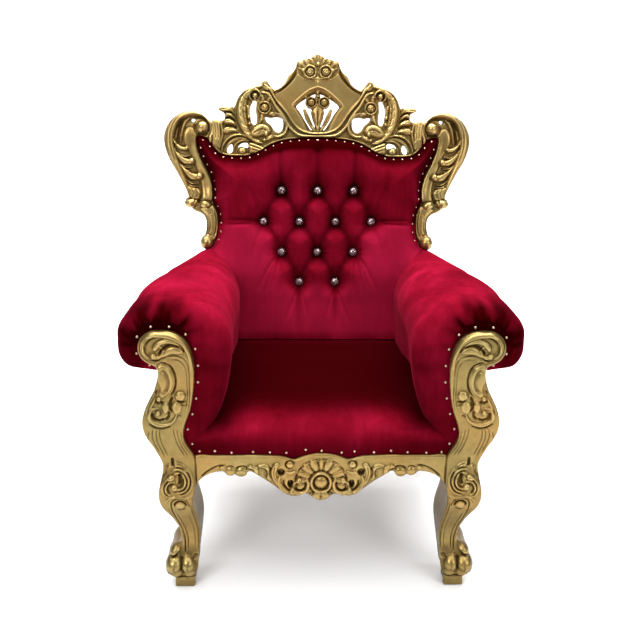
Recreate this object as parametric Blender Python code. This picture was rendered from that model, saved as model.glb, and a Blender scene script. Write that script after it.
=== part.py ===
"""Baroque throne: a carved gilt armchair with a buttoned velvet back, two rolled arms and a sprung seat.

World frame: +X to the sitter's left as seen from the front (viewer's right), -Y is the front, +Z is up.
The origin is at the middle of the footprint, on the floor.

Carved pieces are drawn face on. A carving plane has u across, v up and d out towards the front.
Outlines are drawn for the half at +u, in millimetres, and mirrored to the other side.
"""
import math

import bmesh
import bpy
from mathutils import Matrix, Vector

MM = 0.001
GAP = 0.0003                      # clearance between pieces that touch

# ---- driving dimensions, metres ---------------------------------------------------------------------
FACE_Y = -0.400                   # front face of the posts
POST_BACK_Y = -0.368              # back of the arm supports, where the arm upholstery starts
LEG_BACK_Y = -0.300               # back of the knee block, where the side rail starts
RAIL_FACE_Y = -0.393              # front face of the apron board
RAIL_BACK_Y = -0.362
RAIL_TOP = 0.363
RAIL_BOTTOM = 0.300
SIDE_RAIL_X = (0.330, 0.366)
REAR_LEG_X = (0.320, 0.366)
REAR_LEG_Y = (0.132, 0.186)       # top of the rear leg, front and back
REAR_FOOT_Y = 0.409               # rear edge of the rear foot

RAKE = math.radians(12.0)         # lean of the back
BACK_FOOT_Y = 0.0822              # where the carving plane of the back would meet the floor
BACK_BOARD = (-0.035, -0.008)     # depth of the carved boards of the back, behind and before
PAD_BACK = -0.0350                # rear of the inside back
PAD_EDGE_D = 0.002                # front of the inside back along its edges

SEAT_CROWN = 0.468
SEAT_FRONT_Y = -0.386
SEAT_REAR_D = 0.020               # rear of the seat, before the carving plane of the back

BUTTON_RADIUS = 0.0105
BUTTON_ROWS = ((888, 3), (800, 4), (713, 3), (627, 2))     # height up the back in mm, buttons in the row
BUTTON_PITCH = 0.103
BUTTON_STAND = 0.0068             # height of a button over the bottom of its dimple
TUFT_CROWN = 0.046                # front of the puffs, before the carving plane
TUFT_DEPTH = 0.020                # how far the buttons pull the pad in

SAME_FACE = 7.0                   # degrees within which neighbouring faces of a carving become one

GOLD = (0.56, 0.40, 0.15, 1.0)
VELVET = (0.33, 0.008, 0.035, 1.0)
CRYSTAL = (0.80, 0.80, 0.84, 1.0)


# ---- scene and materials ----------------------------------------------------------------------------
def clear_scene():
    for thing in list(bpy.data.objects):
        bpy.data.objects.remove(thing, do_unlink=True)


def material(name, colour, roughness, metallic):
    made = bpy.data.materials.new(name)
    made.use_nodes = True
    shader = made.node_tree.nodes["Principled BSDF"]
    shader.inputs["Base Color"].default_value = colour
    shader.inputs["Roughness"].default_value = roughness
    shader.inputs["Metallic"].default_value = metallic
    return made


# ---- plane geometry ---------------------------------------------------------------------------------
def arc(centre, radius, start, end, steps):
    """Points on a circle from one angle to another, degrees, counter-clockwise when end > start."""
    angles = [math.radians(start + (end - start) * i / steps) for i in range(steps + 1)]
    return [(centre[0] + radius * math.cos(a), centre[1] + radius * math.sin(a)) for a in angles]


def spiral(centre, outer, inner, start, end, steps):
    """Points on a spiral whose radius shrinks evenly from outer to inner."""
    points = []
    for i in range(steps + 1):
        t = i / steps
        radius = outer + (inner - outer) * t
        angle = math.radians(start + (end - start) * t)
        points.append((centre[0] + radius * math.cos(angle), centre[1] + radius * math.sin(angle)))
    return points


def smooth(points, steps):
    """A Catmull-Rom curve through the points, sampled at even parameter steps."""
    ends = [points[0], *points, points[-1]]
    spans = len(points) - 1
    curve = []
    for i in range(steps + 1):
        place = spans * i / steps
        k = min(int(place), spans - 1)
        t = place - k
        a, b, c, d = (Vector(p) for p in ends[k:k + 4])
        curve.append(tuple(0.5 * (2 * b + (c - a) * t + (2 * a - 5 * b + 4 * c - d) * t * t
                                  + (3 * b - a - 3 * c + d) * t ** 3)))
    return curve


def flipped(points):
    return [(-u, v) for u, v in points]


def carved(u, v, d):
    """A point of a carving plane (u, v in millimetres, d in metres) in the piece's own axes."""
    return (u * MM, -d, v * MM)


# ---- closed solids ----------------------------------------------------------------------------------
def solid(verts, faces):
    """A mesh object from vertices and faces, with its faces turned outwards."""
    mesh = bpy.data.meshes.new("solid")
    work = bmesh.new()
    made = [work.verts.new(v) for v in verts]
    for face in faces:
        work.faces.new([made[i] for i in face])
    bmesh.ops.recalc_face_normals(work, faces=work.faces)
    if work.calc_volume(signed=True) < 0:
        bmesh.ops.reverse_faces(work, faces=work.faces)
    work.to_mesh(mesh)
    work.free()
    made_object = bpy.data.objects.new("solid", mesh)
    bpy.context.scene.collection.objects.link(made_object)
    return made_object


def loft(rings):
    """A closed solid through rings of equal length, with flat caps at both ends."""
    count = len(rings[0])
    verts = [p for ring in rings for p in ring]
    faces = [list(range(count)), [len(verts) - count + i for i in range(count)]]
    for r in range(len(rings) - 1):
        for i in range(count):
            j = (i + 1) % count
            faces.append([r * count + i, r * count + j, (r + 1) * count + j, (r + 1) * count + i])
    return solid(verts, faces)


def board(outline, back, front):
    """A flat plate with the drawn outline."""
    rings = [[carved(u, v, d) for u, v in outline] for d in (back, front)]
    return loft(rings)


def rib(path, widths, base, height, top=0.45):
    """A carved moulding along a path: broad foot at depth base, narrower crown height above it.

    widths are in millimetres at even steps along the path, so a rib can swell and taper. A rib with
    no top is a plain ridge.
    """
    section = ((-1.0, 0.0), (-top, 1.0), (top, 1.0), (1.0, 0.0)) if top else ((-1, 0), (0, 1), (1, 0))
    rings = []
    last = len(path) - 1
    for i, (u, v) in enumerate(path):
        before = Vector(path[max(i - 1, 0)])
        after = Vector(path[min(i + 1, last)])
        along = (after - before).normalized()
        across = Vector((-along.y, along.x))
        place = (len(widths) - 1) * i / last
        k = min(int(place), len(widths) - 2)
        half = 0.5 * (widths[k] + (widths[k + 1] - widths[k]) * (place - k))
        lift = height * min(1.0, 0.35 + half / max(widths))
        rings.append([carved(u + across.x * half * side, v + across.y * half * side, base + lift * rise)
                      for side, rise in section])
    return loft(rings)


def boss(centre, radius, base, height, sides=8, tall=1.0, petals=0):
    """A low dome, or a rose when it has petals. tall stretches it along v."""
    steps = ((1.0, 0.0), (0.6, 1.0)) if radius < 16 else ((1.0, 0.0), (0.9, 0.5), (0.5, 1.0))
    rings = []
    for share, rise in steps:
        ring = []
        for i in range(sides):
            angle = 2 * math.pi * (i + 0.5) / sides
            reach = radius * share
            if petals and i % (sides // petals) == 0:
                reach *= 0.80
            ring.append(carved(centre[0] + reach * math.cos(angle),
                               centre[1] + reach * tall * math.sin(angle), base + height * rise))
        rings.append(ring)
    return loft(rings)


def rose(centre, radius, base, height):
    """A round flower: a four-lobed dome with a raised eye."""
    return [boss(centre, radius, base, height * 0.75, petals=4),
            boss(centre, radius * 0.45, base, height * 1.15, sides=6)]


def leaf(root, tip, width, base, height, bend=0.0):
    """A pointed leaf with a raised middle rib, from root to tip. bend curves it to its left."""
    start, end = Vector(root), Vector(tip)
    along = end - start
    across = Vector((-along.y, along.x)).normalized()
    stations = ((0.0, 0.45), (0.35, 1.0), (0.7, 0.8), (1.0, 0.08))
    rings = []
    for t, share in stations:
        middle = start + along * t + across * (bend * 4 * t * (1 - t))
        half = 0.5 * width * share
        rise = height * (0.55 + 0.45 * math.sin(math.pi * min(1.0, t + 0.2)))
        left, right = middle + across * half, middle - across * half
        rings.append([carved(left.x, left.y, base), carved(middle.x, middle.y, base + rise),
                      carved(right.x, right.y, base)])
    return loft(rings)


def combine(base, parts, operation="UNION"):
    """Join parts to a base solid, or cut them from it, and remove them."""
    group = bpy.data.collections.new("operands")
    bpy.context.scene.collection.children.link(group)
    for part in parts:
        bpy.context.scene.collection.objects.unlink(part)
        group.objects.link(part)
        part.display_type = "WIRE"
        part.hide_render = True
    step = base.modifiers.new("combine", "BOOLEAN")
    step.operation = operation
    step.operand_type = "COLLECTION"
    step.collection = group
    step.solver = "MANIFOLD"
    settle(base)
    for part in parts:
        bpy.data.objects.remove(part, do_unlink=True)
    bpy.data.collections.remove(group)
    return base


def without_crumbs(thing):
    """Keep only the largest body of a trimmed solid."""
    work = bmesh.new()
    work.from_mesh(thing.data)
    waiting = set(work.faces)
    bodies = []
    while waiting:
        body = {waiting.pop()}
        front = list(body)
        while front:
            near = {other for edge in front.pop().edges for other in edge.link_faces} & waiting
            waiting -= near
            body |= near
            front += near
        bodies.append(body)
    main = max(bodies, key=lambda body: sum(face.calc_area() for face in body))
    crumbs = [face for body in bodies if body is not main for face in body]
    bmesh.ops.delete(work, geom=crumbs, context="FACES")
    work.to_mesh(thing.data)
    work.free()
    return thing


def flatten(thing, angle=SAME_FACE):
    """Merge neighbouring faces that lie nearly in one plane, and leave triangles.

    The walls of the outline are kept as drawn, so that neighbours can be fitted to them.
    """
    work = bmesh.new()
    work.from_mesh(thing.data)
    walls = {face for face in work.faces if abs(face.normal.y) < 0.01}
    verts = [vert for vert in work.verts if walls.isdisjoint(vert.link_faces)]
    edges = [edge for edge in work.edges if not walls.issuperset(edge.link_faces)]
    bmesh.ops.dissolve_limit(work, angle_limit=math.radians(angle), verts=verts, edges=edges)
    work.to_mesh(thing.data)
    work.free()
    return faceted(thing)


def faceted(thing):
    """Split warped faces into triangles, so that every later cut meets the same surface."""
    work = bmesh.new()
    work.from_mesh(thing.data)
    bmesh.ops.triangulate(work, faces=work.faces)
    work.to_mesh(thing.data)
    work.free()
    return thing


def settle(thing):
    """Apply all modifiers and the placement of an object to its mesh."""
    bpy.context.view_layer.update()
    graph = bpy.context.evaluated_depsgraph_get()
    mesh = bpy.data.meshes.new_from_object(thing.evaluated_get(graph))
    mesh.transform(thing.matrix_world)
    thing.modifiers.clear()
    thing.data = mesh
    thing.matrix_world = Matrix.Identity(4)


def copied(thing):
    copy = thing.copy()
    copy.data = thing.data.copy()
    bpy.context.scene.collection.objects.link(copy)
    return copy


def grown(thing, clearance=GAP):
    """Push a solid's faces out by the clearance, so that it trims its neighbour with a gap."""
    push = thing.modifiers.new("grow", "DISPLACE")
    push.strength = clearance
    push.mid_level = 0.0
    settle(thing)
    return thing


def mirrored(thing):
    """A copy of a solid on the other side of the middle plane."""
    copy = copied(thing)
    copy.data.transform(Matrix.Scale(-1, 4, (1, 0, 0)))
    copy.data.flip_normals()
    return copy


def whole(half):
    """A symmetric piece from its half at +u: trimmed at the middle plane, mirrored and welded there."""
    work = bmesh.new()
    work.from_mesh(half.data)
    everything = work.verts[:] + work.edges[:] + work.faces[:]
    bmesh.ops.bisect_plane(work, geom=everything, dist=1e-6, plane_co=(0, 0, 0), plane_no=(1, 0, 0),
                           clear_inner=True)
    for vert in work.verts:
        if abs(vert.co.x) < 2e-6:
            vert.co.x = 0.0
    copy = bmesh.ops.duplicate(work, geom=work.verts[:] + work.edges[:] + work.faces[:])["geom"]
    bmesh.ops.scale(work, vec=(-1, 1, 1), verts=[g for g in copy if isinstance(g, bmesh.types.BMVert)])
    bmesh.ops.reverse_faces(work, faces=[g for g in copy if isinstance(g, bmesh.types.BMFace)])
    seam = [vert for vert in work.verts if vert.co.x == 0.0]
    bmesh.ops.remove_doubles(work, verts=seam, dist=1e-6)
    work.to_mesh(half.data)
    work.free()
    return half


def finish(thing, name, look, parent=None, rounded=True):
    """Name a piece, give it its material and hang it on its parent."""
    thing.name = name
    thing.data.name = name
    thing.data.materials.clear()
    thing.data.materials.append(look)
    if rounded:
        thing.data.shade_smooth()
        thing.data.set_sharp_from_angle(angle=math.radians(40))
    if parent is not None:
        thing.parent = parent
    return thing


def pair(thing, name, look, parent=None):
    """The drawn piece at +u becomes name_right, and its mirror image name_left."""
    finish(mirrored(thing), name + "_left", look, parent)
    finish(thing, name + "_right", look, parent)


# ---- the front: posts and apron ---------------------------------------------------------------------
VOLUTE = (374, 633)               # centre of the arm volute, u and v in mm
VOLUTE_RADIUS = 41

POST_INNER = [(297, 363), (309, 386), (318, 405), (320, 422), (315, 445), (306, 470), (299, 495),
              (293, 530), (290, 565), (290, 600), (294, 625), (304, 647), (320, 663), (343, 673)]
POST_OUTER = [(376, 588), (373, 575), (376, 555), (383, 532), (393, 512), (403, 492), (411, 470),
              (415, 448), (412, 425), (403, 405), (391, 384), (379, 362), (372, 342), (374, 320),
              (379, 297), (384, 272), (384, 248), (377, 226), (363, 202), (351, 177), (343, 150),
              (341, 112)]
FOOT_OUTER = [(351, 107), (361, 96), (366, 80), (373, 66), (378, 52), (375, 38), (366, 30), (357, 27)]
BLOCK = [(357, 3), (354, 0), (311, 0), (308, 3), (308, 30)]
LEG_INNER = [(301, 48), (299, 75), (296, 105), (293, 140), (294, 170), (299, 200), (304, 235),
             (302, 258), (297, 283)]

# the leg seen from the side: y and z in millimetres, front edge down and back edge up
LEG_SIDE_FRONT = [(-400, 690), (-400, 330), (-407, 290), (-409, 265), (-402, 225), (-388, 190),
                  (-374, 155), (-367, 120), (-372, 100), (-394, 88), (-407, 66), (-408, 48),
                  (-399, 32), (-397, 0)]
LEG_SIDE_BACK = [(-347, 0), (-345, 34), (-322, 65), (-288, 105), (-268, 145), (-266, 185),
                 (-278, 235), (-294, 280), (-300, 300), (-300, 352), (-330, 363), (-368, 363),
                 (-368, 690)]


def post_outline():
    volute = arc(VOLUTE, VOLUTE_RADIUS, 100, -70, 8)
    return POST_INNER + volute + POST_OUTER + FOOT_OUTER + BLOCK + LEG_INNER


def front_post():
    blank = board(post_outline(), 0.25, 0.45)
    side = LEG_SIDE_FRONT + LEG_SIDE_BACK
    profile = loft([[(x, y * MM, z * MM) for y, z in side] for x in (0.25, 0.45)])
    combine(blank, [profile], "INTERSECT")

    face = -FACE_Y - 0.002        # carving starts just inside the face
    rim = smooth([(308, 466), (300, 520), (298, 580), (305, 628), (334, 656)], 5)
    curl = spiral(VOLUTE, 34, 12, 88, -250, 8)
    parts = [
        rib(rim + curl, [9, 10, 12, 12, 10, 8], face, 0.010),
        leaf((318, 612), (352, 646), 20, face, 0.009, 5),
        boss((360, 556), 13, face, 0.009, tall=2.2),
        rib(smooth([(384, 524), (399, 490), (398, 462), (376, 449), (357, 460), (362, 482)], 7),
            [6, 11, 12, 6], face, 0.009),
        rib(smooth([(326, 522), (316, 500), (322, 474), (344, 456)], 4), [10, 11, 6], face, 0.008, 0),
        boss((371, 518), 8, face, 0.009, sides=6),
        boss((333, 532), 8, face, 0.009, sides=6),
        boss((380, 481), 7, face, 0.008, sides=6),
        rib(smooth([(345, 344), (318, 340), (303, 316), (310, 284), (340, 271)], 6),
            [6, 13, 13, 6], face + 0.002, 0.009),
        rib(smooth([(349, 328), (328, 322), (325, 304), (338, 292)], 4), [6, 10, 5],
            face + 0.003, 0.009, 0),
        rib(smooth([(381, 286), (366, 298), (354, 290), (358, 272), (374, 258)], 5), [7, 11, 5],
            face + 0.004, 0.007, 0),
        boss((355, 312), 8, face + 0.002, 0.009, sides=6),
        boss((334, 237), 13, face - 0.006, 0.014, tall=1.15),
        boss((325, 63), 17, 0.385, 0.024, tall=1.2),
        boss((359, 60), 17, 0.385, 0.022, tall=1.3),
    ]
    for start, end in (((385, 438), (358, 374)), ((364, 440), (347, 376)), ((343, 442), (335, 380))):
        middle = ((start[0] + end[0]) / 2 + 2, 408)
        parts.append(rib([start, middle, end], [9, 8, 5], face, 0.006, 0))
    return flatten(combine(blank, parts))


APRON_TOP = [(0, 368), (22, 366), (42, 361), (56, 355), (65, 352), (76, 355), (98, 361), (140, 363),
             (296.7, 363)]
APRON_BOTTOM = [(296.7, 283), (290, 294), (280, 304), (262, 315), (240, 321), (228, 319), (220, 312),
                (211, 312), (203, 317), (197, 311), (188, 309), (180, 312), (174, 319), (166, 320),
                (140, 303), (100, 272), (84, 261), (68, 256), (52, 256), (38, 260), (28, 257),
                (14, 247), (0, 243)]
SHELL = (0, 291)                  # centre of the apron shell


def shell_flute(angle, face):
    """One flute of the apron shell, widening from the boss to the rim."""
    turn = math.radians(angle)
    path = [(SHELL[0] + reach * math.cos(turn), SHELL[1] + reach * math.sin(turn)) for reach in (15, 50)]
    return rib(path, [5, 14], face, 0.007, 0)


def front_rail():
    outline = [(-8, 368)] + APRON_TOP + APRON_BOTTOM + [(-8, 243)]
    half = board(outline, -RAIL_BACK_Y, -RAIL_FACE_Y)
    face = -RAIL_FACE_Y - 0.002
    parts = [
        boss(SHELL, 18, face, 0.014, sides=10),
        rib(arc(SHELL, 56, -12, 102, 6), [8, 8], face, 0.007),
        leaf((0, 278), (0, 246), 26, face, 0.010),
        rib(smooth([(64, 348), (79, 344), (86, 333), (77, 325), (67, 330)], 5), [6, 8, 6],
            face, 0.008, 0),
        rib(smooth([(60, 318), (68, 298), (62, 278), (44, 270), (33, 280)], 5), [6, 11, 7],
            face, 0.010),
        rib(smooth([(103, 346), (112, 318), (106, 290), (88, 272), (62, 262)], 5), [6, 13, 7],
            face, 0.010),
        rib(smooth([(126, 342), (138, 322), (122, 296)], 3), [6, 12, 6], face, 0.007, 0),
        rib([(150, 344), (160, 332), (154, 318)], [5, 10, 5], face, 0.006, 0),
        boss((189, 321), 11, face, 0.008),
        boss((213, 322), 9, face, 0.008),
        rib(smooth([(230, 329), (254, 326), (276, 314), (290, 298)], 3), [6, 8, 7], face, 0.005, 0),
    ]
    parts += [shell_flute(angle, face) for angle in (8, 31, 54, 77)]
    return flatten(whole(combine(half, parts)))


# ---- the back: crest and wings ----------------------------------------------------------------------
WING_INNER = [(302, 1015), (312, 1028), (326, 1037), (343, 1038), (342, 1015), (336, 995), (326, 970),
              (314, 948), (304, 928), (298, 902), (297, 875), (300, 856), (291, 840), (284, 820),
              (282, 795), (284, 765), (291, 740), (300, 722)]
WING_OUTER = [(340, 735), (337, 751), (326, 762), (321, 785), (323, 808), (334, 820), (352, 827),
              (363, 838), (376, 838), (384, 850), (381, 865), (372, 876), (386, 906), (405, 940),
              (424, 974), (437, 1008), (441, 1038), (435, 1062), (422, 1083), (403, 1099),
              (380, 1109), (355, 1111), (332, 1103), (314, 1088), (302, 1074)]
WING_BALL = (318, 737)
WING_EYE = (332, 1064)
WING_HOLE = (357, 1083)


def wing_outline():
    return WING_INNER + arc(WING_BALL, 21, 245, 350, 4) + WING_OUTER


def wing():
    blank = board(wing_outline(), *BACK_BOARD)
    combine(blank, [board(arc(WING_HOLE, 7, 0, 300, 5), -0.08, 0.08)], "DIFFERENCE")
    face = BACK_BOARD[1] - 0.002
    parts = [
        rib(smooth([(311, 1076), (328, 1096), (356, 1104), (388, 1098), (415, 1076), (430, 1042),
                    (425, 1005), (408, 966), (386, 926), (370, 890), (366, 862)], 10),
            [10, 20, 23, 22, 18, 12], face, 0.021),
        rib(smooth([(349, 1028), (345, 992), (331, 953), (317, 925), (309, 885), (312, 852),
                    (299, 824), (293, 790), (299, 752), (315, 740)], 8),
            [8, 13, 14, 13, 9], face, 0.014),
        boss(WING_EYE, 18, face, 0.023),
        rib(smooth([(314, 1064), (318, 1046), (336, 1042), (352, 1054)], 4), [7, 9, 6], face, 0.009, 0),
        boss((370, 853), 14, face, 0.021),
        boss((346, 834), 12, face, 0.019),
        boss((WING_BALL[0] + 2, WING_BALL[1]), 17, face, 0.021),
    ]
    lobes = (((372, 1070), (402, 1046)), ((356, 1030), (398, 1002)), ((346, 992), (384, 960)),
             ((334, 955), (370, 924)), ((326, 918), (362, 892)), ((322, 880), (350, 858)))
    for root, tip in lobes:
        parts.append(leaf(root, tip, 27, face, 0.020, 7))
    return flatten(combine(blank, parts))


CREST_TOP = [(0, 1272), (12, 1264), (20, 1254), (32, 1256), (46, 1252), (60, 1247), (62, 1234),
             (72, 1220), (84, 1211), (94, 1190), (108, 1177), (122, 1172), (134, 1182), (143, 1195),
             (152, 1198), (162, 1190), (178, 1181), (200, 1174), (217, 1162), (230, 1144), (239, 1118),
             (252, 1121), (266, 1130), (279, 1124), (279, 1112), (264, 1106), (260, 1094), (280, 1096),
             (301.7, 1094)]
CREST_RIM = [(301.7, 1014), (293, 1001), (280, 990), (262, 985), (225, 983), (197, 985), (170, 995),
             (150, 1007), (128, 1019), (98, 1029), (60, 1034), (0, 1037)]
CREST_HOLES = (
    [(176, 1141), (188, 1136), (194, 1112), (190, 1082), (179, 1073), (174, 1090), (177, 1112)],
    [(106, 1093), (122, 1096), (146, 1093), (141, 1078), (117, 1054), (104, 1058), (98, 1076)],
    [(244, 1018), (257, 1010), (254, 998), (243, 996)],
    [(203, 1004), (224, 1001), (230, 1011), (221, 1022), (208, 1019)],
)
KEYSTONE_RIM = [(0, 1180), (24, 1168), (46, 1150), (68, 1127), (48, 1092), (27, 1056)]
KEYSTONE_HOLE = [(-8, 1164), (0, 1164), (20, 1157), (42, 1141), (60, 1126), (44, 1098), (25, 1062),
                 (-8, 1062)]
BOUQUET = [(-6, 1060), (7, 1060), (10, 1086), (30, 1112), (37, 1134), (32, 1150), (14, 1158),
           (6, 1166), (-6, 1166)]


def crest_outline():
    """The half outline, carried a little past the middle plane."""
    return [(-8, 1272)] + CREST_TOP + CREST_RIM + [(-8, 1037)]


def crest():
    half = board(crest_outline(), *BACK_BOARD)
    holes = [board(hole, -0.08, 0.08) for hole in CREST_HOLES + (KEYSTONE_HOLE,)]
    combine(half, holes, "DIFFERENCE")
    face = BACK_BOARD[1] - 0.002
    parts = [
        # roses and leaves on the axis
        board(BOUQUET, -0.024, -0.012),
        boss((0, 1153), 9, -0.014, 0.011, sides=6),
        leaf((0, 1122), (0, 1066), 15, -0.014, 0.010),
        boss((0, 1250), 11, face, 0.012, sides=6),
        leaf((0, 1206), (0, 1182), 13, face, 0.008),
        leaf((38, 1238), (58, 1249), 14, face, 0.011),
        # raised border of the opening and edge of the panel
        rib(KEYSTONE_RIM, [6, 6], face, 0.006, 0),
        rib(smooth([(62, 1236), (90, 1190), (126, 1160)], 4), [11, 13, 9], face, 0.015),
        rib(smooth([(150, 1178), (134, 1176), (124, 1156), (112, 1130), (90, 1092), (72, 1064),
                    (48, 1048), (24, 1043)], 7), [9, 13, 15, 13, 9], face, 0.019),
        rib(smooth([(124, 1118), (108, 1100), (94, 1076), (78, 1056), (58, 1042)], 4),
            [6, 11, 6], face, 0.014, 0),
        # big acanthus scroll with its flower
        rib(smooth([(160, 1174), (174, 1187), (196, 1176), (196, 1162)], 4), [8, 15, 8], face, 0.019, 0),
        rib(smooth([(168, 1180), (198, 1166), (220, 1144), (228, 1112), (222, 1076), (204, 1044),
                    (184, 1030)], 7), [10, 18, 20, 18, 11], face, 0.021),
        leaf((154, 1138), (166, 1164), 16, face, 0.014),
        leaf((160, 1104), (170, 1070), 18, face, 0.016, -4),
        # the scroll beside the panel and the leaves below it
        rib(smooth([(142, 1102), (120, 1104), (98, 1094), (92, 1070), (106, 1046)], 5),
            [5, 10, 6], face, 0.013, 0),
        leaf((150, 1062), (176, 1036), 22, face, 0.017, 5),
        leaf((140, 1048), (158, 1024), 18, face, 0.014, 4),
        leaf((196, 1022), (166, 1005), 24, face, 0.018, 3),
        rib(smooth([(198, 1026), (222, 1038), (250, 1036), (270, 1016), (276, 998)], 5),
            [8, 12, 9], face, 0.015, 0),
        # outer leaves
        leaf((238, 1092), (276, 1120), 18, face, 0.017, -5),
        leaf((242, 1070), (266, 1094), 18, face, 0.015, -4),
        leaf((244, 1048), (276, 1062), 18, face, 0.014, -3),
    ]
    for centre, base in (((21, 1222), face), ((21, 1137), -0.016), ((152, 1121), face)):
        parts += rose(centre, 15, base, 0.017)
    for v in (1042, 1068):        # fluted end against the wing
        parts.append(rib([(268, v + 6), (299, v)], [11, 20], face, 0.011, 0))
    return flatten(whole(combine(half, parts)))


# ---- upholstery -------------------------------------------------------------------------------------
# Cross-sections of the arm, u and z in millimetres, from the inner foot up, over the roll and down the
# outside. Every section has the same points, so the solid runs smoothly from one to the next.
ARM_EDGE = [(314, 363.6), (306, 440), (280, 530), (272, 606), (282, 658), (310, 690), (346, 703),
            (388, 699), (424, 678), (442, 643), (437, 610), (414, 591), (388, 590), (366, 580),
            (366, 363.6)]
ARM_FULL = [(302, 363.6), (268, 440), (226, 530), (210, 606), (224, 668), (266, 706), (326, 720),
            (394, 712), (444, 688), (468, 645), (461, 605), (424, 581), (388, 584), (366, 574),
            (366, 363.6)]
ARM_MIDDLE = [(280, 363.6), (238, 440), (214, 530), (208, 606), (222, 668), (262, 705), (320, 719),
              (388, 710), (436, 684), (458, 645), (450, 606), (416, 583), (386, 586), (366, 575),
              (366, 363.6)]
ARM_REAR = [(262, 363.6), (228, 440), (214, 530), (214, 606), (236, 664), (270, 700), (316, 713),
            (362, 704), (398, 681), (413, 645), (406, 610), (384, 590), (372, 588), (366, 577),
            (366, 363.6)]
ARM_END = [(250, 363.6), (228, 440), (221, 530), (228, 606), (250, 660), (280, 692), (306, 704),
           (334, 697), (354, 678), (366, 648), (369, 618), (368, 602), (367, 592), (366, 578),
           (366, 363.6)]
ARM_FRONT_Y = -0.386              # front edge of the arm, round the volute
ARM_FULL_Y = -0.325               # where the roll has its full size
ARM_STATIONS = ((ARM_FULL_Y, ARM_FULL), (-0.180, ARM_MIDDLE), (0.040, ARM_REAR))
ARM_END_D = PAD_EDGE_D + GAP      # the arm stops against the edge of the inside back
ARM_OUTSIDE = 0.366               # flat outer side below the roll


def back_y(z, depth):
    """Where a plane parallel to the back, depth before it, stands at height z."""
    return BACK_FOOT_Y + z * math.tan(RAKE) - depth / math.cos(RAKE)


def arm():
    rings = []
    for step in range(3):         # quarter-round front edge
        swing = 0.5 * math.pi * step / 3
        y = ARM_FRONT_Y + (ARM_FULL_Y - ARM_FRONT_Y) * (1 - math.cos(swing))
        share = math.sin(swing)
        rings.append([((a + (c - a) * share) * MM, y, (b + (d - b) * share) * MM)
                      for (a, b), (c, d) in zip(ARM_EDGE, ARM_FULL)])
    for y, section in ARM_STATIONS:
        rings.append([(u * MM, y, z * MM) for u, z in section])
    rings.append([(u * MM, back_y(z * MM, ARM_END_D), z * MM) for u, z in ARM_END])
    return faceted(loft(rings))


def arm_panel():
    """Flat outside cover below the roll."""
    low, high, thick = 0.364, 0.570, 0.006
    rings = []
    for front in (True, False):
        ring = []
        for out, z in ((0, low), (thick, low), (thick, high), (0, high)):
            y = POST_BACK_Y + GAP if front else back_y(z, PAD_BACK)
            ring.append((ARM_OUTSIDE + GAP + out, y, z))
        rings.append(ring)
    return loft(rings)


SEAT_PROFILE = [(SEAT_FRONT_Y, 0.348), (SEAT_FRONT_Y - 0.004, 0.385), (SEAT_FRONT_Y, 0.415),
                (SEAT_FRONT_Y + 0.013, 0.439), (-0.345, 0.455), (-0.290, 0.464), (-0.180, SEAT_CROWN),
                (-0.040, SEAT_CROWN), (0.080, 0.462)]
SEAT_HALF = 0.326
SEAT_BOTTOM = 0.318
SEAT_COLUMNS = (0.090, 0.185, 0.260, SEAT_HALF)


def seat():
    rings = []
    for x in [-c for c in reversed(SEAT_COLUMNS)] + list(SEAT_COLUMNS):
        fall = 0.050 * (abs(x) / SEAT_HALF) ** 3
        ring = []
        for y, z in SEAT_PROFILE:
            share = max(0.0, (z - RAIL_TOP) / (SEAT_CROWN - RAIL_TOP))
            ring.append((x, y + 0.010 * share * (x / SEAT_HALF) ** 2, z - fall * share))
        for z in (0.456, RAIL_TOP + 0.003):
            ring.append((x, back_y(z, SEAT_REAR_D), z))
        for z in (RAIL_TOP + 0.002, SEAT_BOTTOM):
            ring.append((x, REAR_LEG_Y[0] - 0.003, z))
        ring.append((x, RAIL_BACK_Y + 0.002, SEAT_BOTTOM))
        ring.append((x, RAIL_BACK_Y + 0.001, 0.348))
        rings.append(ring)
    return faceted(loft(rings))


def button_places():
    """Places of the buttons up the back: u and v in metres."""
    places = []
    for v, count in BUTTON_ROWS:
        for i in range(count):
            places.append(((i - (count - 1) / 2) * BUTTON_PITCH, v * MM))
    return places


def pad_depth(u, v):
    """How far the front of the inside back stands before the carving plane."""
    edge = min(1.0, max(0.0, (0.335 - abs(u)) / 0.09))
    top_line = 1.036 - 0.052 * min(1.0, (abs(u) / 0.22) ** 2)
    crown = min(1.0, max(0.0, (top_line - v) / 0.10))
    foot = min(1.0, max(0.0, (v - 0.33) / 0.12))
    rise = math.sin(0.5 * math.pi * edge) * math.sin(0.5 * math.pi * crown)
    rise *= 0.55 + 0.45 * math.sin(0.5 * math.pi * foot)
    dimple = 0.0
    for bu, bv in button_places():
        reach = math.hypot((u - bu) / 0.052, (v - bv) / 0.052)
        dimple = max(dimple, max(0.0, 1.0 - reach) ** 1.2)
    return PAD_EDGE_D + (TUFT_CROWN - PAD_EDGE_D) * rise - TUFT_DEPTH * dimple


# half outline of the inside back; its edges run hidden inside the crest and the wings, which trim it
PAD_OUTLINE = [(366, 377), (366, 630), (362, 662), (350, 693), (330, 712), (312, 728), (300, 745), (300, 830),
               (312, 860), (318, 900), (340, 950), (352, 1000), (350, 1044), (300, 1048), (200, 1010),
               (100, 1048), (0, 1056)]


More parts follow.
